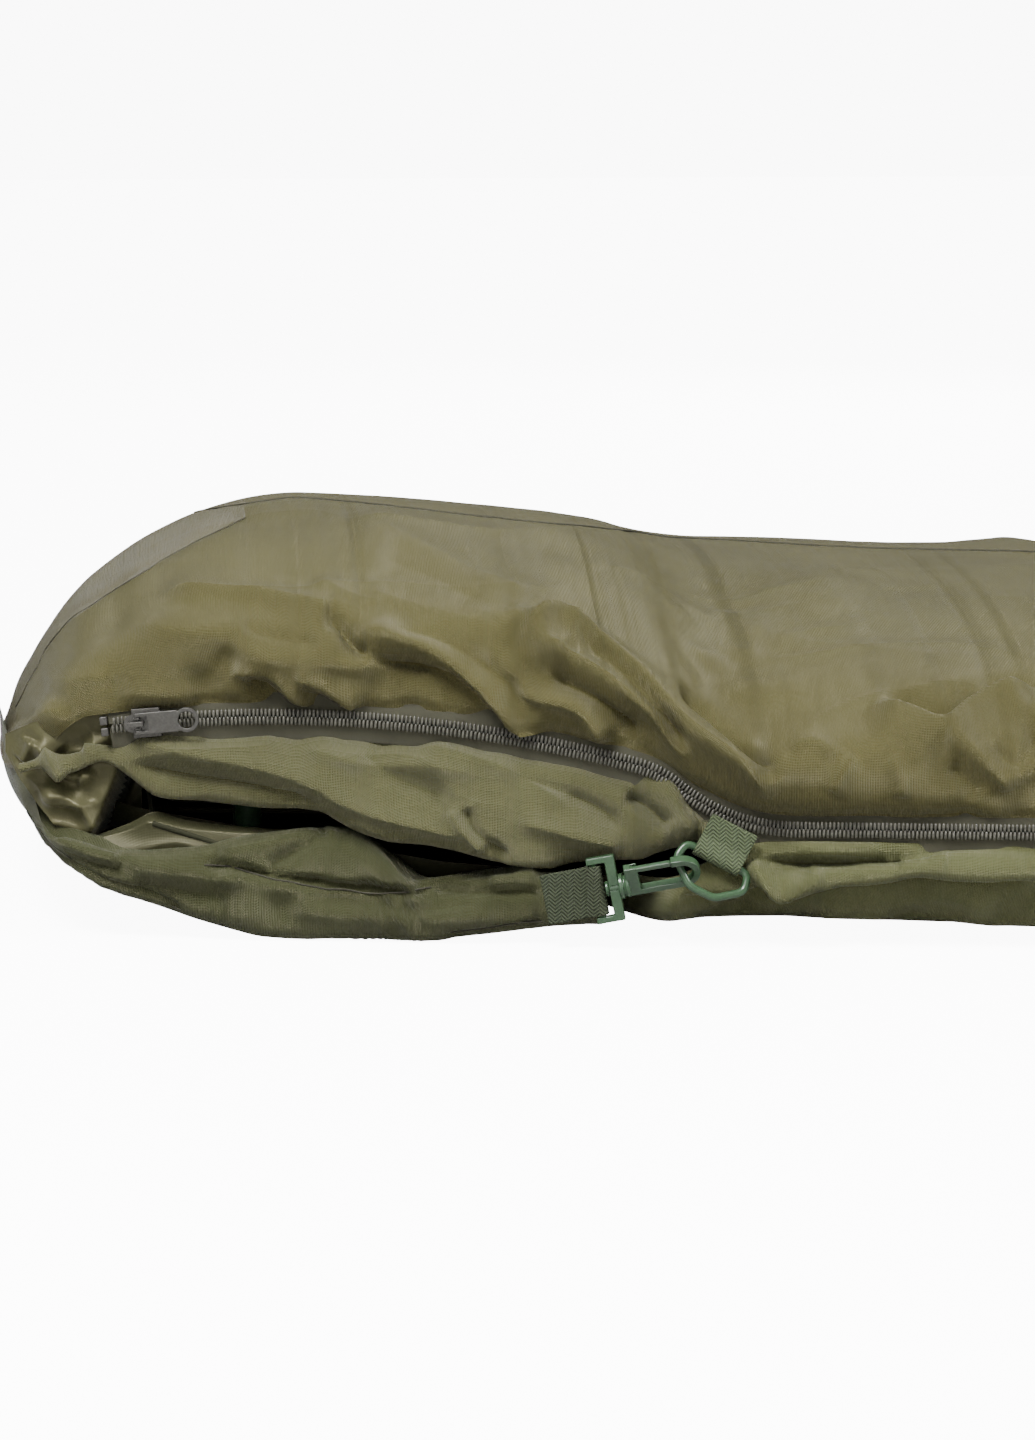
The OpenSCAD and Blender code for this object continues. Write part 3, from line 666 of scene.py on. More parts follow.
TOP_FOLDS = [
    # The three long folds that run from the face down to the bend of the zip.
    ([(78, 169), (122, 168), (156, 162), (168, 158), (174, 152)], 8, 12, 4),
    ([(160, 161), (168, 157), (172, 151), (176, 146), (183, 141)], -10, 2.6, 4),
    ([(172, 150), (194, 147), (217, 139), (235, 126), (252, 112), (266, 102)], 12, 7, 3.5),
    ([(180, 141), (196, 138), (213, 135), (230, 127), (247, 114), (262, 103)], -9, 3, 6),
    ([(190, 152), (212, 150), (232, 141), (250, 128), (268, 112)], -4, 7),
    ([(113, 133), (133, 131), (145, 123), (157, 117)], 6.5, 8, 3),
    ([(120, 128), (131, 125), (141, 118), (150, 114)], -4.5, 3),
    ([(145, 133), (161, 126), (179, 116)], 6, 6, 3),
    ([(148, 126), (160, 119), (168, 114)], -4, 3),
    ([(60, 155), (108, 148), (126, 141), (158, 138), (200, 135)], 6, 15, 7),
    ([(120, 154), (140, 149), (160, 147)], -3, 5),
    ([(0, 99), (10, 103), (24, 108), (35, 117)], 6, 6, 4),
    ([(2, 104), (12, 108), (24, 114)], -4, 3),
    ([(24, 128), (56, 130)], 3, 7),
    ([(40, 122), (70, 124), (100, 121)], 3, 6),
    ([(170, 206), (194, 199), (230, 183), (278, 160)], 6, 22, 12),
    ([(186, 190), (214, 178), (240, 163)], -3, 9),
    ([(155, 176), (169, 169), (191, 163)], 3, 10, 5),
    ([(248, 157), (262, 148), (280, 137)], 4.5, 9, 5),
    ([(180, 170), (214, 160), (240, 152), (256, 146)], 3.5, 9, 5),
    # The long ridges that run from the shoulder to the turn of the zip.
    ([(256, 145), (264, 151), (278, 153), (296, 145), (315, 131), (330, 117), (343, 106),
      (368, 92), (379, 80), (383, 74)], 13, 4.5, 5, 0.1),
    ([(282, 149), (300, 140), (314, 129), (326, 117), (336, 105), (344, 96)], -12, 3.5, 5),
    ([(336, 130), (350, 121), (362, 110), (377, 96), (384, 82)], -13, 4, 5),
    ([(260, 144), (296, 131), (320, 115), (330, 103), (342, 90)], 9, 3.5, 3),
    ([(272, 132), (292, 122), (306, 110), (316, 98)], -8, 3.5),
    ([(252, 124), (284, 117), (296, 106), (303, 99)], 8, 6, 4),
    ([(237, 122), (250, 113), (259, 106), (271, 101)], 5.5, 6, 4),
    ([(237, 210), (290, 204), (336, 198), (372, 190), (397, 182), (424, 177),
      (441, 174)], 6, 17, 9),
    ([(290, 186), (340, 180), (380, 168)], -2.5, 14),
    ([(350, 172), (400, 152), (450, 142), (500, 140)], 4, 24, 12),
    ([(430, 115), (450, 108), (467, 103), (478, 110), (494, 117), (515, 121)], 12, 5, 10),
    ([(436, 121), (455, 115), (468, 111), (480, 118), (496, 125), (520, 128)], -9, 5),
    ([(466, 98), (483, 90), (496, 80), (500, 73)], 10, 7, 4),
    ([(493, 97), (503, 88), (515, 106)], -6, 5),
    ([(470, 88), (478, 80), (484, 72)], -3.5, 4),
    ([(392, 98), (404, 99), (415, 92)], 4, 5, 3),
    ([(422, 94), (411, 76)], 4, 5, 3),
    ([(440, 92), (446, 82), (446, 72)], 3, 4),
    # The seam of the hood's band and the seam along the crest.
    (BAND, -2.6, 1.7, 1.7, 0.03),
    (BAND, 2.2, 7, 7, 0.05),
    (CREST_SEAM, -2.2, 1.5, 1.5, 0.02),
]


def top_folds(ts, p):
    """Height of every fold of the top panel above its plain shape."""
    field = folded(p, TOP_FOLDS, 1, (0.0, 0.25), 430, 1.35, 0.18)
    g = lengths(p, 1)
    t = ts[:, None] + 0 * g
    total = g[:, -1:]
    field += puckers(t, g, 2.6, 13, 24, 21)
    field += puckers(t, total - g, 2.4, 15, 28, 31)
    loose = ease(g, 12, 60) * ease(total - g, 12, 60)
    field += 1.3 * loose * (ridged(t + 0.35 * g, g - 0.3 * t, 95, 38, 41) - 0.4)
    field += 1.6 * loose * noise(t, g, 70, 42, 51)
    quiet = 1 - 0.8 * ease(620 - t, 0, 60) * (g < 420)
    field += 1.4 * loose * quiet * (ridged(t + 0.5 * g, g - 0.2 * t, 190, 75, 61) - 0.35)
    field += 2.2 * loose * quiet * noise(t + 0.5 * g, g, 150, 70, 62)
    return field * ease(t, 2, 30) * (1 - ease(t, BAG_LEN - 40, BAG_LEN - 4))


# ---- The panels below the zip ----

RIM = [(-1, 97), (8, 84), (18, 71), (26, 61), (50, 52.5), (71, 46.5), (92, 46.5), (113, 49.5),
       (140, 53), (162, 55), (176, 54), (195, 43), (212, 31), (234, 33.5), (256, 36), (272, 34)]
LOW_LINE = [(-2, 92), (3, 77), (9, 68), (15, 58), (21, 50), (28, 45), (45, 33), (62, 24.5),
            (80, 18), (97, 12), (115, 6.5), (132, 2.5), (150, 0.5), (168, 0), (202, 0.5),
            (220, 2), (238, 4), (255, 6), (273, 8), (292, 9)]


FLAP_HEM = [(13, 65), (19, 56), (29, 46), (50, 32), (71, 25), (89, 16)]
FLAP_SEAM = [(101, 39), (118, 36), (135, 32), (162, 27), (180, 25), (197, 25), (214, 28)]
LOW_HEM = [(223, 4), (245, 7), (268, 10)]


def base_edge_z(t):
    """Height of the near edge of the base, just below the zip."""
    drop = (EDGE_GAP + 2.5 * ease(t, 440, 640)) * zip_gap(t)
    return (SEAM_Z - drop - (SEAM_Z - EDGE_GAP - 30) * (1 - ease(t, 318, 385))
            + (TOE_Z - SEAM_Z) * ease(t, ZIP_FOOT_AT, ZIP_FOOT_AT + 150))


def far_side(t):
    """From the ground up to the far edge of the lower panels."""
    b = np.linspace(math.pi / 2, math.pi, 90)
    edge = far_edge_z(t)
    z = edge - (edge - ground_z(t)) * np.minimum(1, 1.08 * np.maximum(np.sin(b), 0) ** 0.5)
    return -far_width(t) * shaped(np.cos(b), SQUARE), z


FLOOR_Q = np.linspace(0, 1, 60)[None, 1:-1]


def under_grid(t, y_near, z_near, z_floor, shares):
    """Rows that run down the near side, across the floor and up the far side."""
    far_y, far_z = far_side(t)
    y = np.concatenate([y_near, y_near[:, -1:] * (1 - FLOOR_Q), far_y], 1)
    z = np.concatenate([z_near, z_floor, far_z], 1)
    return even(np.stack([HEAD_X + t + 0 * y, y, z], -1), shares)


def flap_grid(ts, shares):
    """The lower hood: a padded rim that rolls over, a full front and a flat underside."""
    u = ts / math.cos(FLARE)
    rim = smooth_rail(RIM, -4, u)[:, None]
    low = smooth_rail(LOW_LINE, -8, u)[:, None]
    low = np.minimum(low, rim - 6)
    t = ts[:, None]
    a = np.linspace(math.radians(165), math.radians(-90), 160)
    grow = rounding(t, 26, 2)
    middle = (rim + low) / 2
    half = (rim - low) / 2
    depth = (9 + 5 * ease(t, 20, 90)) * grow
    front = 4 * grow
    z_near = middle + half * shaped(np.sin(a), 2.5)
    y_near = -near_width(t) - front + depth - depth * shaped(np.cos(a), 2.5)
    floor = np.minimum(ground_z(t), low + 2)
    z_floor = low + (floor - low) * ease(FLOOR_Q, 0, 0.7) + 0.4
    z_floor = z_floor + (ground_z(t) - floor) * ease(FLOOR_Q, 0.3, 1)
    return under_grid(t, y_near, z_near, z_floor, shares)


FLAP_FOLDS = [
    ([(24, 61), (42, 55), (60, 46)], -2.5, 1.6),
    (FLAP_HEM, -3, 2, 1.5, 0.04),
    (FLAP_SEAM, -6.5, 1.8, 4, 0.06),
    ([(214, 28), (234, 25.5), (270, 25)], -4.5, 1.8, 3),
    ([(214, 28), (239, 34.5), (256, 36)], -3.5, 1.6, 3),
    ([(243, 29), (256, 31), (266, 33.5)], 4, 3),
    ([(131, 36), (140, 41), (162, 55)], -5, 2.5, 4),
    ([(108, 42), (122, 44), (150, 50), (168, 52)], 4, 5, 3),
    ([(60, 38), (90, 34), (120, 30)], 4, 7, 4),
    ([(66, 30), (86, 25), (112, 19)], -3, 4),
    ([(104, 34), (140, 28), (175, 22), (215, 22)], 4, 6),
    ([(140, 14), (180, 11), (215, 13), (250, 13)], 3.5, 7, 4),
    ([(150, 20), (190, 17), (240, 18)], -3, 4),
    (LOW_HEM, -2.5, 1.3, 1.3, 0.03),
    ([(30, 55), (45, 45), (60, 41)], 4, 5, 3),
    ([(34, 46), (50, 39), (70, 36)], -3, 3),
]


def flap_folds(ts, p):
    """Height of every fold of the lower hood above its plain shape."""
    field = folded(p, FLAP_FOLDS, -1, (-0.1, 0.2), 190, 1.5, 0.1)
    g = lengths(p, 1)
    t = ts[:, None] + 0 * g
    field += 0.9 * (ridged(t + 0.2 * g, g, 42, 16, 71) - 0.4) + 0.8 * noise(t, g, 26, 18, 81)
    field += puckers(t, g[:, -1:] - g, 2.2, 15, 26, 91)
    return field * ease(t, 3, 25)


def base_grid(ts, shares):
    """The base of the body, tucked in beside the hook."""
    t = ts[:, None]
    u = t / math.cos(FLARE)
    tuck = 56 * (1 - ease(u, 309, 346))
    low = 2.5 + 5 * ease(t, 300, 380) + ground_z(t) * ease(t, BAG_LEN - 200, BAG_LEN - 120)
    low = np.where(t > BAG_LEN - 200, np.maximum(low, ground_z(t)), low)
    depth = 62 - 8 * ease(t, 300, 400)
    depth = depth * rounding(BAG_LEN - t, 160, 2)
    near = base_edge_z(t)
    a = np.linspace(0, math.pi / 2, 150)
    z_near = near - (near - low) * shaped(np.sin(a), 2.7)
    y_near = -near_width(t) + tuck + depth * (1 - shaped(np.cos(a), 2.7))
    z_floor = low + (ground_z(t) - low) * ease(FLOOR_Q, 0, 0.6)
    p = under_grid(t, y_near, z_near, z_floor, shares)
    n = -grid_normals(p)
    g = lengths(p, 1)
    body = ease(t, 330, 400) * (1 - ease(t, BAG_LEN - 200, BAG_LEN - 40))
    puff = 6 * hump(g, 17, 13) - 3.5 * hump(g, 0, 3.5)
    return p + n * (puff * body)[..., None]


BASE_FOLDS = [
    ([(366, 40), (390, 40.5), (413, 39.5), (440, 42), (472, 44)], -12, 2.6, 4.5, 0.3),
    ([(371, 48), (392, 47), (415, 46), (440, 46), (462, 47)], 4.5, 4, 4, 0.4),
    ([(455, 43), (463, 47), (480, 49), (498, 51)], -4, 2.5),
    ([(445, 41), (458, 42), (470, 40)], 4, 5),
    ([(373, 41), (379, 32), (387, 24), (393, 26), (408, 34)], 8, 3, 5),
    ([(362, 36), (370, 28), (380, 22)], -5, 4),
    ([(385, 35), (392, 33), (402, 38)], -5, 4),
    ([(338, 24), (348, 20), (394, 20), (427, 22.5), (480, 24), (515, 25)], -9, 2.6, 5),
    ([(400, 15), (450, 17), (500, 18)], 3, 6),
    ([(420, 33), (460, 34), (510, 36)], 3, 8),
]


def base_folds(ts, p):
    """Height of every fold of the base above its plain shape."""
    field = folded(p, BASE_FOLDS, -1, (-0.1, 0.2), 200, 1.5, 0.1)
    g = lengths(p, 1)
    t = ts[:, None] + 0 * g
    total = g[:, -1:]
    field += puckers(t, g, 2.4, 13, 16, 101)
    field += puckers(t, total - g, 2.4, 15, 28, 111)
    wide = ease(t, 520, 640)
    field += -7 * wide * hump(g - 22, 3 * noise(t, g * 0, 160, 1, 5), 4.5)
    field += 1.0 * (ridged(t + 0.3 * g, g, 80, 22, 121) - 0.4) + 1.0 * noise(t, g, 50, 26, 131)
    return field * (1 - ease(t, BAG_LEN - 40, BAG_LEN - 4)) * ease(t, 305, 312)


# ---- Build the three padded panels, with cloth that settles over the wadding ----

fine = 1.75
coarse = 6.5


def two_rates(turn, near_length, far_cols):
    """Shares of a row from 0 to 1, fine up to the turn and coarse beyond it."""
    return np.concatenate([np.linspace(0, turn, int(near_length / fine), endpoint=False),
                           np.linspace(turn, 1, far_cols)])


top_ts = stations(fine, coarse)
top_s = two_rates(0.4, 250, 56)
under_s = two_rates(0.2, 120, 53)
flap_s = two_rates(0.3, 130, 44)
base_ts = np.concatenate([np.arange(HOOD_END + 0.3, ROWS_FINE, fine),
                          top_ts[top_ts >= ROWS_FINE]])
flap_ts = stations(fine, fine, stop=HOOD_END + 60, dense_to=240)
flap_ts = flap_ts[flap_ts < HOOD_END - 0.3]

grids = {
    "top": (top_ts, top_s, top_grid, top_folds, 1),
    "base": (base_ts, under_s, base_grid, base_folds, -1),
    "flap": (flap_ts, flap_s, flap_grid, flap_folds, -1),
}
shifts = {}
loose_s = np.linspace(0, 1, 52)
loose = {}
cloths = []
for name, (ts, shares, grid, folds, out) in grids.items():
    loose[name] = np.linspace(ts[0], ts[-1], int((ts[-1] - ts[0]) / 15))
    cloths.append(grid(loose[name], loose_s)[:, ::-out])
for (name, (ts, shares, grid, folds, out)), shift in zip(grids.items(), settle(cloths)):
    rows = between(ts, loose[name])
    cols = between(shares, loose_s)
    shifts[name] = np.einsum("ri,ijk,cj->rck", rows, shift[:, ::-out], cols)

# The outline that the camera sees moves little, so folds don't change the bag's silhouette.
built = {}
for name, (ts, shares, grid, folds, out) in grids.items():
    plain = grid(ts, shares)
    normal = out * grid_normals(plain)
    heights = folds(ts, plain)
    move = normal * heights[..., None] + shifts.get(name, 0)
    outline = 1 - ease(np.abs(normal @ back), 0.03, 0.3)
    placed = plain + move * (1 - 0.85 * outline * ease(610 - ts[:, None], 0, 80))[..., None]
    placed[..., 2] = np.maximum(placed[..., 2], 0.3)
    built[name] = placed

split = int(np.searchsorted(top_ts, ROWS_FINE))
hood_top = built["top"][:split + 1]
top_obj = grid_object("top_panel_hood", hood_top, shell_mat, flip=True)
top_body = grid_object("top_panel_body", built["top"][split:], shell_mat, flip=True)
attach(top_obj, "shell_fabric", "top_shell")
attach(top_body, "shell_fabric", "top_shell")
attach(grid_object("base_panel", built["base"], base_mat), "shell_fabric", "base_shell")
# The lower hood gets the fabric with painted shade.
attach(grid_object("hood_flap", built["flap"], under_shade_mat), "shell_fabric", "hood_shell")


def stitch(name, surface, path, radius):
    """A thin raised line that lies on a panel along a path drawn in the side view."""
    x, h = seen(surface)
    n = grid_normals(surface)
    n = n * np.sign(np.sum(n * back, axis=2, keepdims=True))
    near = (x > -5) & (x < 530) & (lengths(surface, 1) < 420)
    flat = surface[near]
    flat_n = n[near]
    places = np.stack([x[near], h[near]], -1)
    at = []
    for point in smooth_path(path, 2.5):
        close = np.argsort(np.sum((places - point) ** 2, 1))[:6]
        front = close[np.argmax(flat[close] @ back)]
        at.append(flat[front] + flat_n[front] * radius * 0.4)
    at = np.array(at)
    for _ in range(3):
        blur(at)
    along = unit(np.gradient(at, axis=0))
    side = unit(np.cross(along, back))
    out = np.cross(side, along)
    a = np.radians(np.arange(0, 360, 45))[None, :, None]
    ring = at[:, None] + radius * (np.cos(a) * side[:, None] + np.sin(a) * out[:, None])
    attach(grid_object(name, ring, thread_mat, closed=True), "shell_fabric")


STITCHES = (
    ("crest_piping", "top", CREST_SEAM, 0.55),
    ("band_seam", "top", BAND, 0.4),
    ("flap_seam", "flap", FLAP_SEAM, 0.45),
    ("flap_hem", "flap", FLAP_HEM, 0.45),
    ("low_hem", "flap", LOW_HEM, 0.45),
)
for name, panel, path, radius in STITCHES:
    stitch(name, built[panel], path, radius)

# The crown of the hood is a band of ripstop cloth.
px, ph = seen(hood_top)
line = np.array(BAND, float)
band = (px < BAND[-1][0]) & (ph > np.interp(px, line[:, 0], line[:, 1], left=0))
band = band | ((top_ts[:split + 1, None] < 60) & (hood_top[..., 1] > 0))
in_band = band[:-1, :-1] & band[1:, 1:]
second_material(top_obj, band_mat, in_band)

# The linings inside, each one sheet that also stands for the wadding behind it, coloured near black
# as painted shade.
lining_ts = stations(20, 25)


def inner_under(ts):
    """The lining below: rows that sag from the near edge to the far one."""
    t = ts[:, None]
    a = np.linspace(0, math.pi, 40)
    c = shaped(np.cos(a), SQUARE)
    width = np.where(c > 0, near_width(t), far_width(t)) * LINING[1]
    rim = np.interp(ts, [0, 200, 330, 480], [69, 36, 26, 50])[:, None]
    edge = rim + (far_edge_z(t) - rim) * (1 - c) / 2
    rise = (edge - ground_z(t)) * 0.63
    z = edge - rise * np.minimum(1, 1.08 * np.maximum(np.sin(a), 0) ** 0.5)
    return np.stack([(HEAD_X + t) * LINING[0] + 0 * z, -width * c, z], -1)


for part, sheet in (("top", top_section(lining_ts, LINING, 40)),
                    ("base", inner_under(lining_ts[lining_ts > HOOD_END])),
                    ("hood", inner_under(lining_ts[lining_ts < HOOD_END + 14]))):
    obj = grid_object(part + "_lining_sheet", sheet, painted_shade_mat, flip=part != "top")
    attach(obj, "lining_fabric", part + "_lining", part + "_insulation")


# ---- The baffle below the zip, and the gathered lining at the tip ----

BAFFLE_LOW = [(12, 93), (22, 85), (32, 81), (50, 88), (62, 81), (78, 70.5), (102, 68.5),
              (129, 65.5), (150, 65), (160, 64), (173, 56), (191, 50.5), (221, 45), (245, 38.5),
              (266, 36.5), (283, 37.5), (300, 38.5), (318, 40), (342, 47.5), (352, 52)]
BAFFLE_FOLDS = [
    ([(178, 94), (196, 82), (208, 76), (224, 70)], -5, 10, 7),
    ([(150, 96), (178, 88), (205, 87), (240, 82)], 5, 8, 5),
    ([(231, 68), (233, 58), (240, 50), (253, 41)], -5.625, 3, 6),
    ([(222, 66), (229, 55), (240, 44)], 6.25, 7, 3),
    ([(314, 78), (322, 80), (332, 70), (338, 60), (346, 55)], 8.75, 4, 5),
    ([(310, 74), (320, 68), (332, 56)], -8.75, 5, 5),
    ([(17, 99), (24, 90), (32, 81)], 6.25, 4, 3),
    ([(40, 95), (52, 101), (57, 106)], 5, 4, 3),
    ([(60, 100), (90, 93), (120, 88), (150, 80), (172, 70)], 6.25, 9, 5),
    ([(64, 88), (95, 82), (130, 76), (158, 70)], -5, 5, 4),
    ([(160, 74), (180, 65), (205, 58), (230, 52)], 5, 6, 4),
    ([(205, 96), (235, 90), (262, 80), (284, 66)], 5, 8, 5),
    ([(250, 84), (275, 76), (296, 66), (310, 54)], -6.25, 5, 6),
    ([(255, 60), (280, 54), (310, 48)], 5, 7, 4),
]


def side_baffle():
    """The puffy roll below the zip, with its free lower edge turned in."""
    u = np.arange(14, 362, fine)
    top = zip_z(u) - 10.6 + 2.6 * ease(u, 200, 350)
    top = np.where(u < 62, top - 3 * (1 - ease(u, 14, 62)), top)
    low = np.minimum(smooth_rail(BAFFLE_LOW, 2, u), top - 3)
    turn = np.radians(np.concatenate([np.linspace(84, -90, int(72 * 2.3 / fine), endpoint=False),
                                      np.linspace(-90, -200, 16)]))
    middle = ((top + low) / 2)[:, None]
    half = ((top - low) / 2)[:, None]
    depth = (4 + 6 * ease(u, 30, 130) - 2 * ease(u, 320, 360))[:, None]
    hang = 7 * (ease(u, 120, 230) * (1 - 0.85 * ease(u, 262, 292)))[:, None]
    hang = hang * (1 - np.sin(turn)) / 2
    p = on_side(u[:, None], middle + half * shaped(np.sin(turn), 2.3),
                -6.0 - depth * 0.2 + depth * shaped(np.cos(turn), 2.3) + hang)
    field = folded(p, BAFFLE_FOLDS, -1, (-0.2, 0.2), FAR, 1.4, 0.15)
    g = lengths(p, 1)
    u = u[:, None] + 0 * g
    field += puckers(u, g, 2.4, 11, 16, 141)
    field += 1.2 * (ridged(u - 0.4 * g, g, 40, 18, 151) - 0.4) + 0.9 * noise(u, g, 20, 14, 161)
    field += -1.8 * hump(g, g[:, -1:] * 0.60, 1.5)
    p = p - grid_normals(p) * field[..., None]
    attach(grid_object("side_baffle", p, baffle_mat), "shell_fabric", "zip_side_baffle")


TIP_FOLDS = [
    ([(15, 100), (12, 93), (9, 88)], 6, 4, 3),
    ([(19, 71), (29, 72), (39, 68), (45, 60), (49, 53)], 6, 4, 4),
    ([(22, 84), (31, 80), (40, 78)], -5, 4, 4),
    ([(17, 99), (24, 90), (34, 81), (48, 84)], 5, 4, 4),
    ([(42, 95), (52, 101), (57, 107)], 4, 4, 4),
    ([(28, 95), (36, 88), (44, 90)], -4, 3.5, 3.5),
]


def tip_lining():
    """The gathered lining at the tip of the hood, with a deep hole beside its folds whose faces are
    painted near black as shade.
    """
    x = np.arange(0.5, 64, 1.1)
    top = np.interp(x, [0, 15, 40, 64], [101, 108, 114, 112])[:, None]
    low = np.interp(x, [0, 8, 18, 26, 50, 64], [93, 80, 67, 58, 50, 46])[:, None]
    h = top + (low - top) * np.linspace(0, 1, 56)
    x = x[:, None] + 0 * h
    field = np.zeros(x.shape)
    for path, height, left, right_w in TIP_FOLDS:
        fold(field, x, h, path, height, left, right_w, 1.6, 0.15)
    field += 2.0 * (ridged(x, h, 13, 9, 171) - 0.4)
    hole = ease(x - 0.38 * (h - 52), 44, 52) * (1 - ease(h, 84, 92))
    n = -11 + field - 45 * hole
    u, z = unseen(x, h, -8.0)
    keep_in = 9 * (1 - ease(u, 0, 30))
    obj = grid_object("tip_lining", on_side(u, z, n - keep_in), lining_mat)
    # The faces in the hole get painted shade.
    second_material(obj, painted_shade_mat, hole[:-1, :-1] > 0.5)
    attach(obj, "lining_fabric")


LIP = [(47, 53), (56, 56), (66, 60), (73, 64), (79, 65), (93, 61), (115, 58), (140, 56),
       (163, 54), (182, 48)]


def lip_lining():
    """The inside of the lower hood, which shows behind its rim, darkened with painted shade."""
    u = np.arange(47, 182, 1.3)
    q = np.linspace(0, 1, 40)
    low = smooth_rail(RIM, -6, u)[:, None] - 6
    high = np.maximum(smooth_rail(LIP, -16, u)[:, None], low + 3)
    z = low + (high - low) * q
    u = u[:, None] + 0 * z
    waves = 2.4 * (ridged(u + 0.6 * z, z, 30, 13, 201) - 0.4)
    n = -4 - 5 * q - 5 * ease(q, 0.8, 1) + waves * ease(q, 0.1, 0.4)
    attach(grid_object("hood_lip_lining", on_side(u, z, n), lip_shade_mat), "lining_fabric")


def draft_roll():
    """The filled tube that hangs behind the zip, coloured near black as painted shade."""
    u = np.arange(66, 612, 4.0)[:, None]
    a = np.radians(np.arange(0, 360, 15))
    size = 11 * (1 + 0.12 * noise(u, a * 8, 22, 6, 191))
    z = zip_z(u) - 6 - 4 * ease(u, 60, 250) + size * np.sin(a)
    p = on_side(u, z, -48 + size * np.cos(a))
    attach(grid_object("draft_roll", p, painted_shade_mat, closed=True), "lining_fabric", "draft_tube")


side_baffle()
tip_lining()
lip_lining()


# ---- Zip: tapes, coils and stops ----

def zip_path():
    """Distances and points along the zip, with the directions across it and outwards."""
    u = np.arange(arc_a[0] + ZIP_RA * math.sin(START_SLOPE), bend_from / math.cos(FLARE), 1.0)
    place = on_side(u, zip_z(u), 0.0)
    angles = np.arange(0, FLARE + TAPER, 0.002)
    centre = np.array([HEAD_X + bend_x, -bend_c[1]])
    spoke = -math.pi / 2 - FLARE + angles
    arc = np.stack([centre[0] + SHOULDER_R * np.cos(spoke),
                    centre[1] + SHOULDER_R * np.sin(spoke), SEAM_Z + 0 * spoke], -1)
    dist = np.arange(1, (ZIP_FOOT_AT - bend_to) / math.cos(TAPER), 1.0)
    start = np.array([HEAD_X + bend_to, -float(side_line(np.array(bend_to))), SEAM_Z])
    run = start + dist[:, None] * np.array([math.cos(TAPER), math.sin(TAPER), 0])
    pos = np.concatenate([place, arc[1:-1], run])
    tangent = unit(np.gradient(pos, axis=0))
    flat = unit(tangent * [1, 1, 0])
    outward = np.stack([flat[:, 1], -flat[:, 0], 0 * flat[:, 0]], -1)
    across = np.cross(outward, tangent)
    across *= np.sign(across[:, 2:3])
    return lengths(pos[None], 1)[0], pos, across, outward


zs, zpos, zacross, zout = zip_path()


def on_zip(s, v, n):
    """World place of a point at s along the zip, v across it and n outwards."""
    s, v, n = np.broadcast_arrays(s, v, n)
    cols = []
    for table, by in ((zpos, 1), (zacross, v), (zout, n)):
        value = np.stack([np.interp(s, zs, table[:, k]) for k in range(3)], -1)
        cols.append(value * np.asarray(by)[..., None])
    return sum(cols)


def tape(side):
    s = np.arange(0, zs[-1], 3.0)[:, None]
    v = np.array([0.7, 3, 6, 9, 10.6, TAPE_W + 0.8])
    ripple = 0.5 * noise(s, s * 0, 14, 1, 181 + side) * v / TAPE_W
    n = TAPE_N + TAPE_T + ripple - 1.6 * (v / TAPE_W) ** 2
    front = on_zip(s, side * v, n)
    return grid_object("tape_up" if side > 0 else "tape_down", front, tape_mat, flip=side > 0)


def coil(side):
    """One rounded tooth every pitch."""
    pitch = 2.0
    starts = np.arange(2, zs[-1] - 2, pitch) + (pitch / 2 if side > 0 else 0)
    rings = [(0.15, 0.35), (0.7, 0.85), (2.3, 1.0), (3.8, 0.85), (4.3, 0.4)]
    around = np.radians(np.arange(0, 360, 60))
    local = np.array([(0.78 * size * math.cos(a), v - 0.35, 1.05 * size * math.sin(a))
                      for v, size in rings for a in around])
    count = len(around)
    cap = grid_faces(len(rings), count, closed=True)
    pts = on_zip(starts[:, None] + local[:, 0], side * local[:, 1],
                 TAPE_N + TAPE_T + 1.15 + local[:, 2]).reshape(-1, 3)
    offs = (np.arange(len(starts)) * len(local))[:, None, None]
    faces = (cap[None] + offs).reshape(-1, 4)
    return make_mesh("coil_up" if side > 0 else "coil_down", pts, faces, coil_mat)


for side, part in ((1, "upper"), (-1, "lower")):
    attach(tape(side), "zip_tape", "zip_tape_" + part)
    attach(coil(side), "zip_coil", "zip_coil_" + part)


# ---- Hard pieces: softened copies of the CAD pieces ----

def soft_copy(name, node, body, material, slot, voxel, rounds=4):
    """A CAD node with its sharp edges worn soft."""
    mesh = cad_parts[node].data.copy()
    mesh.materials.clear()
    mesh.materials.append(material)
    obj = add_object(name, mesh)
    remesh = obj.modifiers.new("even", "REMESH")
    remesh.mode = "VOXEL"
    remesh.voxel_size = voxel * MM * 1
    smooth = obj.modifiers.new("soften", "SMOOTH")
    smooth.factor = 0.5
    smooth.iterations = rounds
    graph = bpy.context.evaluated_depsgraph_get()
    done = bpy.data.meshes.new_from_object(obj.evaluated_get(graph))
    obj.modifiers.clear()
    obj.data = done
    done.polygons.foreach_set("use_smooth", np.full(len(done.polygons), True))
    attach(obj, slot, node, body=body)
    return obj


# Each hard piece: its name, CAD node, body, voxel and, where not 4, rounds of smoothing.
HARD = {
    (metal_mat, "slider_metal"): (
        ("top_stops", "zip_top_stops", "bag", 0.25),
        ("bottom_stop", "zip_bottom_stop", "bag", 0.3)),
    (web_mat, "webbing"): (
        ("webbing_hook", "hook_webbing_tab", "bag", 0.35),
        ("hang_loops", "foot_hang_loops", "bag", 0.5, 3)),
    (web_light_mat, "webbing"): (("webbing_ring", "ring_webbing_tab", "bag", 0.35),),
    (plastic_mat, "hardware_plastic"): (
        ("swivel_base", "hook_base", "hook_base", 0.3, 5),
        ("hook_body", "snap_hook", "hook", 0.28),
        ("gate", "hook_gate", "gate", 0.25),
        ("ring", "hex_ring", "ring", 0.3),
        ("lock_body", "cord_lock_body", "cord_lock", 0.4),
        ("lock_button", "cord_lock_plunger", "lock_plunger", 0.3, 3)),
    (cord_mat, "cord"): (("drawcord", "hood_drawcord", "bag", 0.5, 3),),
}
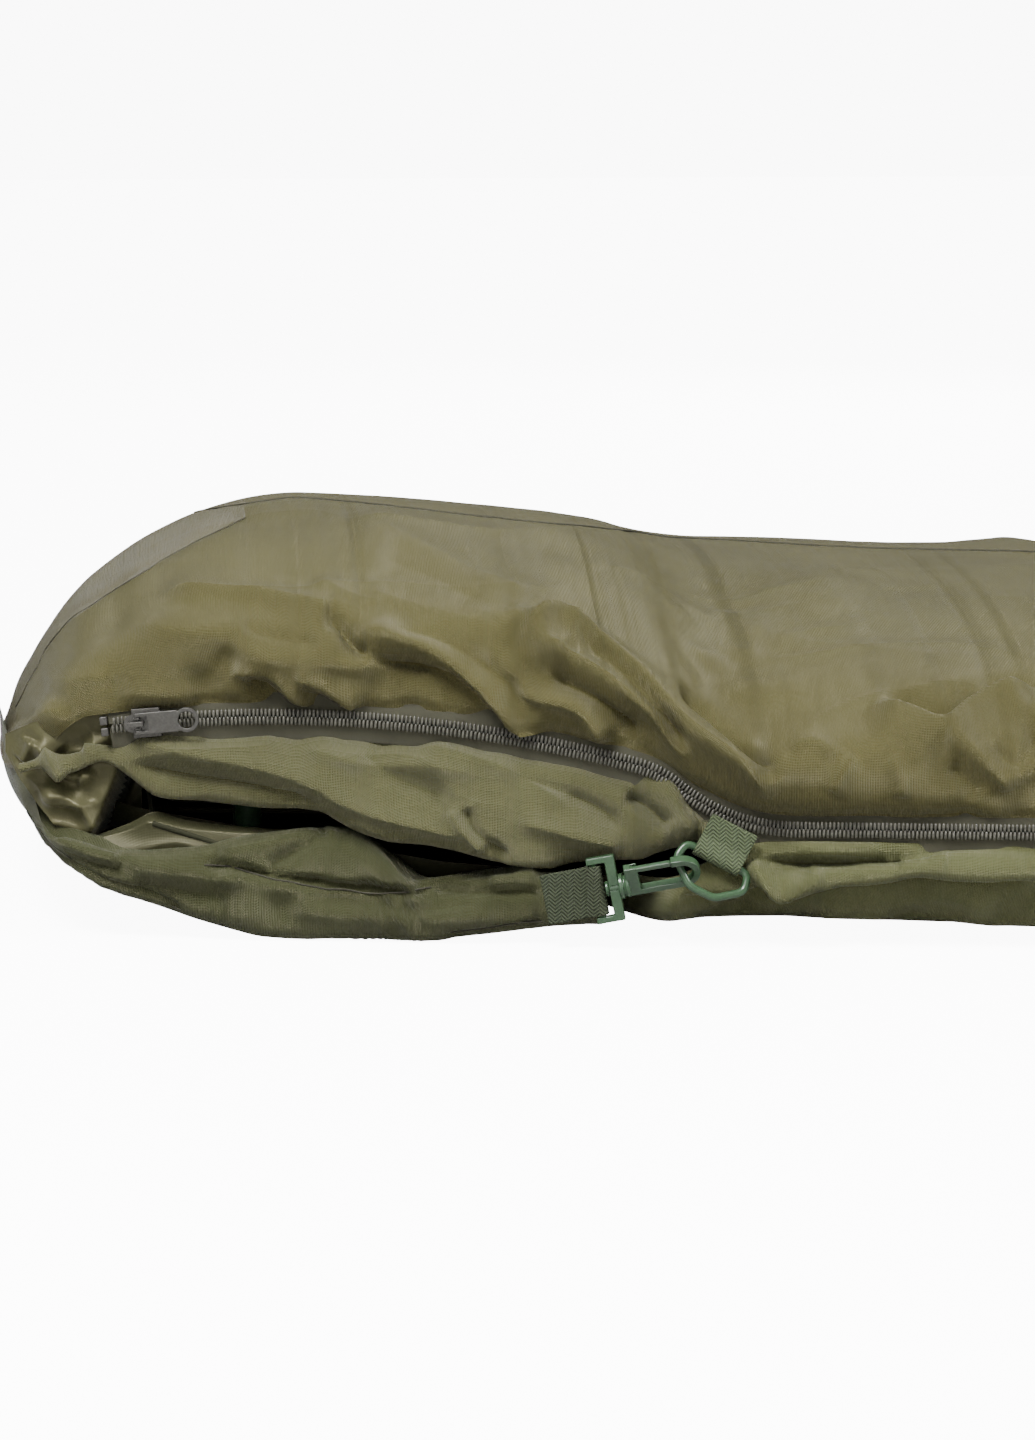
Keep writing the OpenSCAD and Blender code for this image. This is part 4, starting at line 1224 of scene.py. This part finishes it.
for (material, slot), pieces in HARD.items():
    for name, node, body, *softness in pieces:
        soft_copy(name, node, body, material, slot, *softness)
for end in ("head", "foot"):
    for name, node, body, voxel in (("slider_" + end, "_slider_body", "_slider", 0.22),
                                    ("slider_" + end + "_cover", "_slider_lock", "_slider", 0.2),
                                    ("pull_" + end, "_pull_tab", "_pull", 0.22)):
        soft_copy(name, end + node, end + body, metal_mat, "slider_metal", voxel)

spring = soft_copy("lock_spring", "cord_lock_spring", "cord_lock", steel_mat, "spring_steel",
                   0.25, 2)
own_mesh(spring)

draft_roll()


# ---- Floor, light and camera ----

def lit_for_camera(tree, lit, bright, out):
    """The camera sees the bright shader, and everything else is lit by the plain one."""
    path = new_node(tree, "LightPath")
    mix = new_node(tree, "MixShader")
    link(path.outputs["Is Camera Ray"], mix.inputs[0])
    link(lit, mix.inputs[1])
    link(bright, mix.inputs[2])
    link(mix.outputs[0], out.inputs["Surface"])


FLOOR_R = 9000
floor_mat, tree, shader = new_material("floor_look")
set_inputs(shader, {"Base Color": (0.35, 0.35, 0.34, 1), "Roughness": 0.9})
white = new_node(tree, "BsdfDiffuse", Color=(0.9, 0.9, 0.9, 1))
glow = new_node(tree, "Emission", Strength=10.0)
both = new_node(tree, "AddShader")
link(white.outputs[0], both.inputs[0])
link(glow.outputs[0], both.inputs[1])
lit_for_camera(tree, shader.outputs[0], both.outputs[0], tree.nodes["Material Output"])
corners = [(x * FLOOR_R, y * FLOOR_R, -0.5) for x, y in ((-1, -1), (1, -1), (1, 1), (-1, 1))]
floor = make_mesh("floor", corners, [(0, 1, 2, 3)], floor_mat)


def area(name, offset, size, power):
    """A soft light that stands off the middle of the view and points at it."""
    focus = Vector(target * MM)
    place = focus + Vector(offset)
    data = bpy.data.lights.new(name, "AREA")
    data.size = size
    data.energy = power
    obj = add_object(name, data)
    obj.location = place
    obj.rotation_euler = (focus - place).to_track_quat("-Z", "Y").to_euler()
    return obj


# The light behind the bag gives no highlights, so the front keeps its look.
area("key", (-0.8, -1.0, 1.95), 0.8, 113)
area("side", (1.9, -0.9, 1.1), 0.7, 52)
area("fill", (-0.6, -2.4, 0.6), 1.2, 12)
area("back", (1.0, 3.0, 1.2), 1.6, 50).visible_glossy = False

world = bpy.data.worlds.new("studio")
bpy.context.scene.world = world
world.use_nodes = True
tree = world.node_tree
sky = tree.nodes["Background"]
parts = split_up(new_node(tree, "TexCoord").outputs["Generated"])
ramp_between(parts[2], sky.inputs[0], [0.25] * 3, [1] * 3, 0.0, 0.9)
set_inputs(sky, {"Strength": 0.34})
backdrop = new_node(tree, "Background", Strength=12.0)
lit_for_camera(tree, sky.outputs[0], backdrop.outputs[0], tree.nodes["World Output"])

cam_data = bpy.data.cameras.new("photo_view")
cam_data.sensor_fit = "HORIZONTAL"
cam_data.sensor_width = 36
cam_data.lens = 36 * DIST / (2 * MID_X)
cam_data.clip_end = 60
cam = add_object("photo_view", cam_data)
cam.matrix_world = Matrix(np.vstack([np.stack([right, up, back, eye * MM], 1), [0, 0, 0, 1]]))
bpy.context.scene.camera = cam
